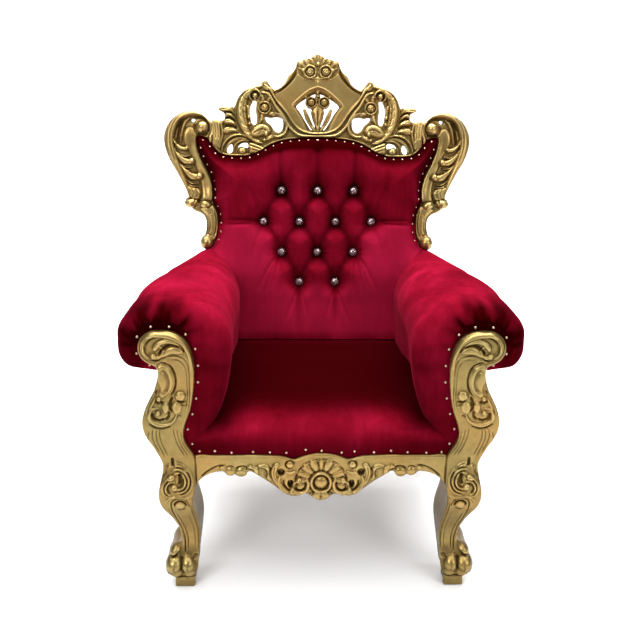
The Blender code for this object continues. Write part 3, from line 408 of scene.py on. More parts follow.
def carve_post(step):
    """Arm support and cabriole leg in one."""
    c = Carving((284, 0), (422, 680), step, ground=8, base=7)
    c.grow(*c.polygon(POST_OUTLINE, 3))
    # arm support: plain panel with a double line, below the volute
    c.sink([(306, 500), (303, 545), (304, 588), (312, 606), (328, 613), (348, 612), (346, 596), (334, 572),
           (333, 548), (340, 526), (330, 508), (318, 496)], 1.6, 4)
    c.groove((3.2, 3.0, (311, 468), (304, 500), (301.5, 545), (302.5, 586), (309, 606), (325, 616),
              (348, 616), (362, 607)),
             (2.4, 1.8, (316, 476), (309, 505), (307, 545), (308, 582), (315, 599), (329, 608), (346, 607)))
    # volute: rolled rim that winds in round two leaves
    rim = curve_through([(296, 585), (298, 612), (306, 635), (322, 652), (346, 664), (374, 667.5)], 6)
    coil = spiral_path(VOLUTE, 34.5, 13, 88, -215, 40)
    c.scroll(np.vstack([rim, coil]), [8, 11, 13, 14, 14, 14, 13, 12, 10, 6], 8,
             [0.3, 0.7, 0.9, 1, 1, 1, 1, 1, 0.9, 0.7], base=6.5, steps=0)
    c.groove((3.5, 5, *spiral_path(VOLUTE, 27, 20, 100, -120, 30)),
             (2.2, 2.4, *spiral_path(VOLUTE, 32, 26, 80, -150, 30)),
             (2.2, 2.0, *spiral_path(VOLUTE, 37.5, 33, 80, -110, 30)), steps=0)
    c.groove((3.5, 4, (308, 625), (316, 641), (334, 653), (352, 658)))
    c.pillow((9.5, 8, (316, 640), (326, 651), (344, 659), (362, 657), (376, 648), (381, 634), (374, 627),
              (366, 634), (358, 643), (342, 646), (328, 640)),
             (7.5, 8, (309, 624), (318, 636), (334, 641), (350, 635), (362, 622), (366, 612), (354, 614),
              (338, 620), (322, 620)), base=6)
    c.groove((4.5, 7, (318, 638), (334, 644), (350, 640), (362, 628), (368, 616)))
    c.ball(((378, 617), 7, 10, 1.4, 30), base=6)
    c.groove((4, 4, (366, 606), (378, 607), (388, 614)))
    # long leaf on the outer side
    c.pillow((6.5, 9, (374, 590), (362, 595), (347, 588), (339, 571), (338, 548), (345, 530), (356, 518),
             (367, 514), (372, 524), (368, 540), (373, 558), (374, 576)), base=6.5)
    c.groove((9, 5.0, (367, 586), (355, 577), (349, 558), (352, 540), (362, 525)),
             (3.6, 4.5, (374, 596), (358, 600), (342, 590), (334, 571), (333, 547), (340, 527), (353, 513)))
    # cluster of beads and small scrolls
    c.pillow((6, 6, (311, 522), (318, 531), (331, 529), (335, 516), (327, 507), (315, 510)))
    c.ball(((325, 520), 6.5, 8), base=8)
    c.pillow((6, 7, (319, 494), (327, 506), (340, 503), (344, 489), (337, 475), (325, 477)))
    c.ball(((336, 499), 5.5, 8), base=8)
    c.groove((5, 6, (340, 520), (346, 505), (347, 490), (341, 476)),
             (4, 4, (309, 506), (320, 503), (331, 510)), (3.5, 3, (322, 470), (332, 468), (342, 462)))
    c.scroll([(333, 474), (340, 459), (355, 448), (376, 447), (392, 457), (396, 473), (388, 486),
             (375, 488)], [5, 8, 10, 11, 11, 10, 8, 5], 6.5)
    c.groove((5, 6, (388, 478), (386, 465), (374, 458), (360, 462)),
             (4.5, 5, (350, 482), (352, 468), (362, 458)),
             (3.4, 4, (346, 446), (364, 438), (384, 440), (400, 452)))
    c.ball(((375, 477), 7, 9), ((372, 512), 6.5, 8))
    c.groove((4, 5, (362, 506), (372, 501), (382, 507)))
    c.pillow((5.5, 7, (356, 506), (366, 498), (366, 484), (358, 474), (350, 484), (350, 498)),
             (5, 6, (378, 536), (388, 518), (398, 498), (404, 476), (396, 478), (384, 496), (378, 514)))
    c.groove((3, 3, (372, 540), (384, 514), (394, 494), (400, 470)))
    # neck: broad smooth middle between fine lines
    for line in (((371, 442), (375, 424), (371, 400), (357, 366)),
                 ((379, 440), (383, 420), (378, 396), (363, 362)),
                 ((388, 440), (392, 420), (387, 398), (375, 374)),
                 ((397, 432), (402, 415), (397, 398), (386, 378)),
                 ((343, 442), (341, 420), (333, 394), (318, 366)),
                 ((335, 440), (333, 418), (325, 392), (310, 366)),
                 ((327, 434), (325, 414), (318, 392), (305, 372))):
        c.groove((2.6, 2.2, *line))
    # knee: rings of two scrolls that meet
    for radius, lift in ((38, 4), (29, 5.5), (20, 6.5)):
        c.scroll(arc_points((338, 303), radius * 0.92, radius, 22, 62, 285), [4, 7.5, 7.5, 7.5, 4], lift,
                 steps=0)
        c.groove((2.6, 3.5, *arc_points((338, 303), radius * 0.92 - 4.4, radius - 4.4, 20, 70, 275)),
                 steps=0)
    for radius, lift in ((26, 4.5), (17.5, 6)):
        c.scroll(arc_points((350, 284), radius * 0.9, radius, 18, -75, 115), [4, 7, 7, 4], lift, steps=0)
        c.groove((2.6, 3.5, *arc_points((350, 284), radius * 0.9 - 4.2, radius - 4.2, 18, -65, 105)),
                 steps=0)
    c.groove((9, 9, (333, 324), (330, 308), (333, 292)))
    c.groove((5, 7, (348, 364), (348, 350), (345, 337)), ends=0.25)
    c.pillow((4.5, 5, (344, 354), (334, 352), (320, 343), (311, 328), (317, 326), (328, 337), (343, 343)))
    c.groove((2.6, 3, (342, 348), (328, 343), (316, 330)))
    c.pillow((4.5, 5, (354, 350), (366, 338), (375, 318), (369, 317), (359, 331), (351, 342)))
    c.groove((2.6, 2.5, (357, 344), (366, 332), (372, 318)))
    c.ball(((353, 311), 8, 9, 1.35, -20), ((345, 288), 7.5, 9.5, 1.3, 35))
    c.groove((3.2, 3.2, (356, 350), (362, 330), (372, 312), (376, 292)))
    c.scroll([(303, 266), (318, 259), (338, 262), (356, 259), (368, 247)], [5, 7, 7, 7, 5], 4, base=7.5)
    # curl under an arch, whose lines run down the leg
    c.groove((2.6, 3.4, (313, 226), (315, 243), (326, 256), (341, 257), (354, 246), (355, 226), (349, 200),
             (339, 165), (332, 130), (331, 100), (332, 84)), ends=0.05)
    c.ball(((334, 237), 11.5, 5), power=0.4)
    c.groove((3.6, 5.5, *arc_points((334, 237), 13.5, 13, 20, -20, 200)),
             (2.6, 3, *arc_points((334, 237), 13, 12.5, 16, -150, -50)), steps=0)
    c.groove((2.3, 2.4, (347, 222), (341, 200), (331, 165), (324.5, 130), (324, 100), (325, 86)),
             (2.2, 2.0, (363, 236), (358, 210), (347, 175), (338.5, 140), (336, 112)),
             (2.6, 2.8, (308, 256), (308, 225), (303, 190), (299, 155), (298.5, 120), (302, 84)),
             (2.2, 1.6, (316, 220), (314, 195), (309, 160), (306, 125), (308, 90)),
             (2.6, 1.6, (370, 226), (362, 205), (350, 178)))
    # foot: rolled toes over a plain block, with deep pockets above them
    c.ball(((356, 96), 11, 14, 1.5, -42), base=5)
    c.ball(((325, 64), 18.5, 19, 1.2, 80), ((358, 64), 21, 22, 1.12, -60), base=3)
    c.sink(arc_points((306, 82), 5, 5, 12), 7, 6, 2)
    c.groove((4, 3.5, (341, 86), (339, 66), (341, 50), (343, 38)), ends=0.15)
    c.groove((4, 6, (346, 97), (356, 85), (368, 81)), (3, 2.5, (352, 74), (357, 60), (355, 46)),
             (3, 2.5, (322, 74), (325, 60), (321, 46)))
    c.ball(((354, 44), 18, 13), ((321, 44), 16, 12), base=3)
    c.groove((4.5, 6, (302, 33), (330, 30), (372, 33)), ends=0)
    return c


# ---- apron ----
APRON_OUTLINE = [(-12, 368), (0, 368), (22, 366), (42, 361), (56, 355), (65, 352), (76, 355), (98, 361),
    (140, 363), (200, 363), (260, 363), (296.7, 363), (296.7, 330), (296.7, 283), (290, 294), (280, 304),
    (262, 315), (240, 320), (230, 319), (223, 311), (213, 308), (204, 313), (200, 309), (190, 305),
    (179, 309), (174, 318), (166, 320), (154, 312), (140, 303), (122, 290), (100, 272), (84, 261),
    (68, 256), (52, 256), (38, 260), (28, 257), (14, 247), (0, 243), (-12, 246)]
SHELL, BOSS = (0, 296), (0, 292)  # middle of the shell's rays and of its round boss


def ray(angle):
    return np.array([math.cos(math.radians(angle)), math.sin(math.radians(angle))])


def carve_rail(step):
    """Half of the apron, with its shell in the middle."""
    c = Carving((0, 238), (298, 372), step, ground=6, base=6)
    c.grow(*c.polygon(APRON_OUTLINE, 2))
    # rolled upper edge over a plain band
    c.scroll([(-4, 363), (22, 361), (42, 356), (64, 347), (84, 352), (104, 357), (150, 358.5), (230, 358.5),
             (300, 358.5)], [7, 7], 1.8, base=5.8, soft=True)
    # shell round its boss
    for angle in (95, 68, 44, 22, 1, -18):
        c.scroll([SHELL + ray(angle) * reach for reach in (26, 36, 46, 53)], [8, 14, 20, 18], 4.6,
                 [0.6, 0.9, 1, 0.85])
    c.groove(*((2.4, 1.0, *(SHELL + ray(angle) * reach for reach in (34, 44, 57)))
               for angle in (81, 56, 33, 12, -8)), ends=0.3)
    c.groove((3.4, 2.8, *arc_points(SHELL, 60, 57, 40, -16, 94)),
             (3.4, 3.2, *arc_points(BOSS, 29, 31, 30, -70, 95)), ends=0.06, steps=0)
    c.scroll(arc_points(BOSS, 23, 25, 30, -100, 95), [8, 8], 6.5, steps=0)
    c.groove((3.2, 3.5, *arc_points(BOSS, 17.5, 18.5, 24, -95, 95)), ends=0, steps=0)
    c.ball((BOSS, 16.5, 9), base=5, power=0.55)
    c.pillow((6, 8, (0, 268), (12, 268), (20, 262), (22, 254), (12, 247), (0, 243), (-12, 247), (-14, 262)))
    c.groove((3, 2.5, (0, 266), (2, 250)), steps=0)
    c.groove((3, 3.5, (14, 267), (25, 263), (30, 256)))
    # spiral beside the shell, inside the larger scroll
    c.scroll([(34, 302), (30, 287), (36, 271), (52, 264), (66, 271), (68, 285), (58, 294), (48, 288)],
             [7, 9, 11, 11, 11, 9, 7, 6], 7, base=6.5)
    c.groove((3.4, 6, (38, 296), (37, 284), (44, 273), (55, 273), (61, 281)))
    c.ball(((53, 298), 7, 9, 1.3, -35), base=7)
    c.scroll([(97, 310), (100, 294), (92, 276), (74, 263), (50, 259.5)], [6, 11, 14, 12, 7], 6.5)
    c.groove((3, 4, (89, 300), (88, 286), (80, 274), (66, 267)),
             (2.4, 2, (98, 304), (97, 288), (86, 273), (70, 264)))
    c.ball(((68, 267), 6, 8, 1.4, 30), base=7)
    # small curl at the dip of the upper edge
    c.ball(((74, 339), 8.5, 5), base=6.5, power=0.35)
    c.groove((2.6, 3.6, *arc_points((74, 339), 10.5, 10, 24, 190, -130)), steps=0)
    c.scroll([(62, 322), (74, 317), (84, 320)], [5, 8, 5], 6)
    c.sink(arc_points((95, 319), 7.5, 8.5, 14), 14, 4, 2)
    c.sink(arc_points((73, 288), 5.5, 9.5, 14), 14, 4, 2)
    # leaves running out along the rail
    c.pillow((6, 7, (98, 341), (110, 343), (118, 328), (118, 308), (110, 290), (102, 282), (103, 300),
             (106, 318)))
    c.groove((3, 3, (108, 338), (112, 318), (107, 296)))
    c.pillow((5.5, 7, (122, 334), (134, 341), (150, 338), (146, 330), (134, 325), (133, 311), (124, 298),
             (116, 300), (120, 316)))
    c.groove((4, 5, (148, 333), (133, 328), (128, 318), (131, 303)),
             (3, 3.5, (118, 332), (122, 318), (118, 302)))
    c.pillow((5, 6, (148, 328), (158, 336), (172, 338), (176, 331), (164, 326), (156, 316), (148, 312)))
    c.ball(((153, 331), 4.5, 6), ((167, 336), 4, 5.5), base=7)
    c.groove((3.4, 4.5, (158, 324), (168, 328), (178, 326)))
    # scallops and the long line towards the post
    c.pillow((5, 9, *arc_points((189, 318), 14, 12, 16)),
             (5, 8, *arc_points((214, 320), 12, 11, 16)), base=4.5, smooth=2)
    c.groove((3.6, 5, (172, 327), (182, 334), (196, 332), (203, 325)),
             (3, 3.5, (205, 331), (214, 335), (225, 331)))
    c.ball(((233, 331), 4.5, 5, 1.6, 0))
    c.groove((3.4, 4, (222, 337), (244, 335), (268, 322), (288, 303)),
             (2.6, 1.5, (180, 315), (189, 312), (198, 316)))
    return c


# ---- crest ----
CREST_OUTLINE = [(-12, 1266), (0, 1272), (12, 1267), (22, 1260), (34, 1259), (46, 1255), (60, 1248),
    (63, 1234), (72, 1220), (84, 1211), (94, 1190), (108, 1177), (122, 1172), (134, 1182), (143, 1195),
    (152, 1198), (162, 1190), (178, 1181), (200, 1174), (217, 1162), (230, 1144), (239, 1122), (245, 1126),
    (256, 1123), (268, 1125), (280, 1122), (283, 1113), (268, 1106), (266, 1090), (281, 1083),
    (301.7, 1090), (301.7, 1060), (301.7, 1014), (293, 1001), (280, 990), (262, 985), (225, 983),
    (197, 985), (170, 995), (150, 1007), (128, 1019), (98, 1029), (60, 1034), (0, 1037), (-12, 1037)]
OPENINGS = ([(176, 1141), (188, 1136), (194, 1112), (190, 1082), (179, 1073), (174, 1090), (177, 1112)],
    [(104, 1092), (120, 1096), (134, 1093), (150, 1096), (147, 1084), (134, 1074), (124, 1058), (110, 1053),
    (101, 1064), (99, 1080)], [(246, 1018), (254, 1015), (260, 1003), (257, 994), (247, 995), (243, 1006)],
    [(201, 1008), (201, 1021), (211, 1023), (223, 1018), (229, 1009), (218, 1012)])
ARCH = [(-12, 1160), (0, 1163), (20, 1157), (42, 1143), (61, 1127), (52, 1112), (43, 1098), (32, 1080),
    (21, 1062), (12, 1059), (-12, 1059)]
ARCH_BORDER = [(-40, 1180), (0, 1180), (26, 1170), (50, 1151), (71, 1128), (60, 1109), (48, 1090),
    (38, 1070), (30, 1052), (-40, 1050)]


def carve_crest(step):
    """Half of the pierced top."""
    c = Carving((0, 976), (304, 1276), step, ground=2, base=2)
    c.grow(*c.polygon(CREST_OUTLINE, 2))
    # plain panel round the arched opening, which it slopes into
    win, gap = c.polygon([(-40, 1206), (34, 1204), (56, 1222), (70, 1203), (90, 1182), (112, 1166),
        (124, 1160), (116, 1138), (100, 1118), (86, 1100), (70, 1077), (52, 1058), (24, 1048), (-40, 1046)],
        2)
    c.lay(win, True, 10 * bump(gap / 4), 0)
    win, gap = c.polygon(ARCH_BORDER, 2, 10)
    slope = np.where(c.V[win] > 1120, 1.0, 0.9)
    c.h[win] = np.where(gap > 0, np.minimum(c.h[win], 10 - slope * gap), c.h[win])
    c.scroll(ARCH_BORDER[:-1], [4.2, 4.2], 3.2, base=8.6)
    for hole in OPENINGS:
        c.pierce(hole, 3)
    c.pierce(ARCH, 2)
    # pair of rosettes and a spray of leaves inside the opening
    c.scroll([(0, 1054), (0, 1072), (0, 1090), (0, 1108), (0, 1128)], [9, 18, 31, 40, 27], 12,
             [0.8, 1, 1, 1, 0.8], base=0, grow=True)
    c.groove((4, 5, (0, 1066), (0, 1092), (0, 1118)), (2.8, 4, (4, 1072), (10, 1092), (13, 1112)))
    c.scroll([(7, 1055), (18, 1073), (29, 1093), (38, 1116)], [8, 12, 15, 9], 11, [0.8, 1, 1, 0.8], base=0,
             grow=True)
    c.groove((3, 5, (13, 1066), (25, 1086), (34, 1106)))
    c.scroll([(0, 1146), (0, 1168)], [13, 9], 7, [1, 1], base=0, grow=True)
    c.scroll([(24, 1146), (34, 1153)], [8, 7], 6, [1, 1], base=0, grow=True)
    c.rose((18.5, 1137), 18, 17, base=0)
    c.rose((0, 1155), 8, 12, base=0)
    # top cluster: rosettes under leaves, over a ledge
    c.pillow((5, 6, (-30, 1204), (20, 1203), (40, 1206), (44, 1222), (56, 1236), (62, 1248), (46, 1254),
             (20, 1256), (0, 1272), (-30, 1260)), base=3)
    c.scroll([(-6, 1204), (20, 1203), (37, 1201)], [6, 6, 4], 5, [1, 1], base=9)
    c.rose((22, 1222), 20.5, 17, base=5, grow=False)
    c.leaf(((0, 1244), (0, 1274), 17, 14, 0, 1), ((5, 1244), (16, 1268), 13, 12, 2, 1), base=4)
    c.leaf(((10, 1242), (28, 1261), 13, 13, 2, 1), ((24, 1240), (40, 1259), 14, 14, -2, 1), base=5)
    c.ball(((0, 1243), 7.5, 15), base=5)
    c.leaf(((36, 1234), (60, 1249), 18, 15, 3, 2), base=5)
    c.leaf(((40, 1224), (58, 1232), 12, 12, 2, 1), base=4)
    c.ball(((42, 1226), 6, 9), base=8)
    c.leaf(((0, 1200), (0, 1184), 15, 8, 0, 1), base=8)
    # rolled shoulder beside the panel
    c.scroll([(64, 1246), (70, 1226), (82, 1208), (94, 1191), (108, 1177), (124, 1168)],
             [8, 13, 17, 16, 13, 8], 15, [0.9, 1, 1, 1, 1, 0.8], soft=True)
    c.groove((4, 4.5, (60, 1234), (66, 1214), (80, 1194), (94, 1179), (112, 1167)))
    c.leaf(((72, 1218), (88, 1208), 12, 15, 0, 1), base=4)
    # two ribbons with a deep line between them, down to the foot of the panel
    c.scroll([(150, 1184), (136, 1172), (126, 1156), (116, 1140), (101, 1123), (88, 1107), (76, 1089),
             (62, 1070), (46, 1058), (22, 1051), (-6, 1050)], [6, 8, 8, 8, 8, 7, 7, 7, 7, 7, 6], 11, [1, 1],
             base=7)
    c.scroll([(160, 1164), (142, 1160), (130, 1144), (120, 1126), (104, 1106), (92, 1088), (80, 1068),
             (64, 1052), (44, 1043), (-6, 1042)], [6, 9, 10, 10, 10, 10, 10, 10, 9, 7], 13,
             [0.7, 0.9, 1, 1, 1, 1, 1, 1, 0.9, 0.8], base=6)
    # scroll that turns round the lower opening
    c.scroll([(140, 1102), (120, 1106), (104, 1100), (92, 1086), (88, 1068), (94, 1050), (110, 1041),
             (128, 1042)], [5, 8, 11, 12, 12, 12, 11, 7], 15, [0.8, 0.9, 1, 1, 1, 1, 0.9, 0.8], soft=True)
    c.groove((3, 3.5, (112, 1099), (100, 1090), (95, 1072), (100, 1054)))
    # big acanthus scroll: broad smooth band with a line near its edge, ending in a bud
    c.scroll([(160, 1182), (182, 1174), (203, 1160), (216, 1138), (219, 1112), (216, 1086), (208, 1062),
             (197, 1042), (182, 1028)], [10, 18, 28, 36, 39, 36, 29, 22, 12], 20,
             [0.7, 0.9, 1, 1, 1, 1, 1, 0.9, 0.7], soft=True)
    c.groove((3.4, 6, (184, 1171), (205, 1164), (222, 1145), (230, 1120), (231, 1096), (226, 1072),
              (216, 1050)), (4, 3.5, (204, 1148), (210, 1128), (211, 1106), (207, 1084), (200, 1064)))
    c.leaf(((198, 1100), (204, 1130), 16, 20, 4, 2), base=3)
    c.groove(*((3.4, 3.2, (u, v - 2), (u + 9, v - 5), (u + 18, v + 2), (u + 24, v + 11)) for u, v in
               ((195, 1148), (198, 1129), (199, 1112), (199, 1093), (196, 1073), (190, 1055))), ends=0.35)
    c.ball(((196, 1094), 5.5, 15, 1.4, 80), ((195, 1076), 5, 14, 1.3, 100), base=3)
    c.scroll(arc_points((179, 1155), 16, 16, 22, -70, 190), [5, 8, 8, 6], 17, [1, 1], steps=0)
    c.groove((3.2, 8, *arc_points((179, 1155), 10.5, 10.5, 20, -80, 200)), steps=0)
    c.ball(((179, 1154), 9, 21), base=1)
    c.leaf(((150, 1180), (150, 1199), 17, 17, 0, 1), ((152, 1178), (130, 1174), 15, 17, 3, 1),
           ((158, 1180), (172, 1184), 11, 15, 0, 1), base=3)
    c.ball(((143, 1174), 6, 15), base=4)
    # flower with its leaves
    c.leaf(((146, 1134), (128, 1156), 16, 14, -2, 2), ((158, 1134), (160, 1160), 15, 13, 2, 2), base=3)
    c.leaf(((142, 1112), (118, 1104), 16, 14, 3, 2),
           ((158, 1110), (168, 1076), 17, 15, -3, 3), base=3, grow=True)
    c.rose((152, 1121), 20, 19, base=3, turn=0.4)
    # leaves under the flower
    c.pillow((15, 14, (132, 1058), (146, 1074), (166, 1076), (186, 1064), (196, 1046), (184, 1036),
             (160, 1040), (140, 1046)), lean=0.12)
    c.groove((4, 4.5, (142, 1056), (162, 1060), (186, 1048)), (3, 3, (154, 1072), (160, 1058), (172, 1044)))
    c.ball(((147, 1047), 7, 17, 1.3, 80), base=3)
    c.leaf(((128, 1040), (150, 1026), 18, 14, 3, 2))
    c.ball(((152, 1030), 6, 15), base=3)
    c.leaf(((188, 1036), (156, 1022), 18, 16, 3, 2))
    c.pillow((17, 13, (196, 1024), (176, 1020), (158, 1012), (150, 1004), (162, 994), (180, 988),
             (196, 990), (200, 1004)), lean=0.15)
    c.groove((4.5, 6, (196, 1016), (178, 1010), (160, 1003)), (3, 3, (192, 1004), (178, 1000), (168, 995)))
    # arch of ribs over the two small openings, with a hollow between them
    c.scroll([(206, 1033), (222, 1035), (242, 1029), (255, 1016), (261, 1000)], [10, 12, 12, 10], 7)
    c.scroll([(204, 1040), (222, 1045), (244, 1041), (262, 1028), (272, 1010), (275, 993)],
             [6, 7.5, 8, 8, 7.5, 6], 15, [0.8, 1, 1, 1, 1, 0.8])
    c.scroll([(197, 1028), (214, 1029), (230, 1022), (239, 1009), (240, 994)], [5, 7, 7, 7, 6], 12,
             [0.8, 1, 1, 1, 0.8])
    c.ball(((216, 999), 11, 13, 1.2, 0))
    # leaves that fan out behind the scroll, and a fluted slope towards the wing
    c.pillow((11, 12, (266, 1086), (282, 1086), (360, 1090), (360, 1016), (296, 1008), (280, 1000),
             (277, 1014), (270, 1034), (274, 1050), (272, 1068)))
    c.groove(*((3.6, 2.4, (u + 4, 1082), (u, 1056), (u, 1030)) for u in (285, 293)))
    c.scroll([(278, 1088), (274, 1068), (272, 1046), (276, 1026), (280, 1006)], [5, 8, 8, 7, 5], 13,
             [0.8, 1, 1, 1, 0.8])
    c.groove((2.6, 4, (281, 1078), (278, 1062), (277, 1044), (281, 1026)))
    # stacked lobes, each over a dark fold
    c.pillow((15, 9, (224, 1048), (231, 1060), (246, 1067), (262, 1067), (271, 1060), (271, 1050),
             (262, 1045), (246, 1050), (234, 1052)), lean=0.1)
    c.groove((2.6, 2.5, (230, 1056), (246, 1061), (264, 1058)))
    c.pillow((16, 9, (230, 1066), (236, 1080), (248, 1089), (260, 1091), (268, 1085), (268, 1075),
             (256, 1072), (242, 1072)), lean=0.12)
    c.groove((2.6, 2.5, (238, 1078), (250, 1083), (264, 1080)))
    c.pillow((15, 7, (234, 1084), (240, 1098), (250, 1106), (262, 1107), (267, 1099), (264, 1092),
              (250, 1094)),
             (17, 8, (235, 1100), (240, 1114), (245, 1125), (256, 1122), (268, 1125), (281, 1122),
              (284, 1112), (270, 1107), (254, 1109), (244, 1106)), lean=0.15)
    c.groove((3.0, 3.5, (244, 1110), (258, 1116), (278, 1116)))
    for line in (((228, 1064), (246, 1070), (268, 1069)), ((234, 1082), (248, 1092), (267, 1089)),
                 ((238, 1098), (250, 1108), (268, 1105))):
        c.groove((4, 6, *line))
    # lower rim along the velvet
    c.scroll([(-6, 1041), (60, 1038), (98, 1033), (130, 1023), (153, 1011), (173, 999), (198, 989.5),
             (226, 987.5), (262, 989.5), (278, 995), (290, 1005), (300, 1018)], [7, 7], 8)
    c.h = 4 + 0.76 * c.h
    return c


# ---- from grids to meshes ----
def new_object(name, verts, faces, look, hollows_and_painted_shade=None, smooth_angle=40):
    """A mesh object from arrays, with smooth shading. Its point attribute is, for wood, how deep a point
    lies in the relief, for bole, dirt and painted shade; for cloth, its painted shade as how far its pile
    lies down."""
    data = bpy.data.meshes.new(name)
    data.from_pydata([tuple(v) for v in verts], [], faces)
    data.validate()
    data.update()
    data.shade_smooth()
    data.set_sharp_from_angle(angle=math.radians(smooth_angle))
    if hollows_and_painted_shade is not None:
        layer = data.attributes.new("hollows_and_painted_shade", "FLOAT", "POINT")
        layer.data.foreach_set("value", np.asarray(hollows_and_painted_shade, np.float32).ravel())
    data.materials.append(look)
    thing = bpy.data.objects.new(name, data)
    scene.collection.objects.link(thing)
    return thing


def on_back(u, d, v):
    """From the raked plane of the back to the world: u across, d before the plane, v up it, in mm."""
    y = BACK_FOOT - d * math.cos(RAKE) + v * math.sin(RAKE)
    z = v * math.cos(RAKE) + d * math.sin(RAKE)
    return np.stack([u, y, z], -1) * MM


def upright(u, d, v):
    """From an upright front plane to the world; d is the distance before y = 0, in mm."""
    return np.stack([u, -d, v], -1) * MM


def sideways(u, d, v):
    """From a plane on the chair's right side to the world; d is the distance from the middle, in mm."""
    return np.stack([d, u, v], -1) * MM


def behind_back(u, d, v):
    return on_back(u, -d, v)


def flat_at(depth):
    return lambda u, v: np.full_like(u, depth)


def back_line(z, depth):
    """y of the plane that lies a depth behind the carving plane of the back, at a height z, in mm."""
    return BACK_FOOT + z * math.tan(RAKE) + depth / math.cos(RAKE)


def close_up(thing, near=1e-6):
    """Join the points of a closed mesh that coincide, and turn all its faces outwards."""
    work = bmesh.new()
    work.from_mesh(thing.data)
    bmesh.ops.remove_doubles(work, verts=work.verts[:], dist=near)
    bmesh.ops.recalc_face_normals(work, faces=work.faces[:])
    work.to_mesh(thing.data)
    work.free()
    return thing


def rear_cover(u, v, rim):
    """Triangles over the area to the left of the rim lines, openings left free."""
    points = [Vector((float(p), float(q))) for p, q in zip(u, v)]
    _, _, tris, origin, _, _ = delaunay_2d_cdt(points, rim, [], 1, 1e-6, True)
    tris = [[origin[i][0] if origin[i] else -1 for i in tri] for tri in tris]
    tris = [tri for tri in tris if min(tri) >= 0]
    pu, pv = u[np.array(tris)], v[np.array(tris)]
    turn = (pu[:, 1] - pu[:, 0]) * (pv[:, 2] - pv[:, 0]) - (pu[:, 2] - pu[:, 0]) * (pv[:, 1] - pv[:, 0])
    tris = [tri if way > 0 else tri[::-1] for tri, way in zip(tris, turn)]
    sides = [[(tri[i], tri[(i + 1) % 3]) for i in range(3)] for tri in tris]
    walls = set(rim)
    sharing = {}
    for k, three in enumerate(sides):
        for side in three:
            sharing.setdefault(frozenset(side), []).append(k)
    seen, cover = set(), []
    for start in range(len(tris)):            # one region at a time, as far as the rim lets it spread
        if start in seen:
            continue
        seen.add(start)
        region, stack, vote = [], [start], 0
        while stack:
            k = stack.pop()
            region.append(k)
            for side in sides[k]:
                if side in walls:
                    vote += 1
                elif side[::-1] in walls:
                    vote -= 1
                else:
                    fresh = [other for other in sharing[frozenset(side)] if other not in seen]
                    seen.update(fresh)
                    stack += fresh
        if vote > 0:
            cover += [tris[k][::-1] for k in region]
    return cover


# share of the way to the rear and how far the wall is set in there, mm
MOULDED = ((0.10, 0.2), (0.22, 1.6), (0.34, 2.2), (0.80, 2.2), (0.90, 1.2), (1.0, 1.8))
RIM_PAINTED_SHADE = 2.4                    # painted shade on the moulded sides, as a depth in mm
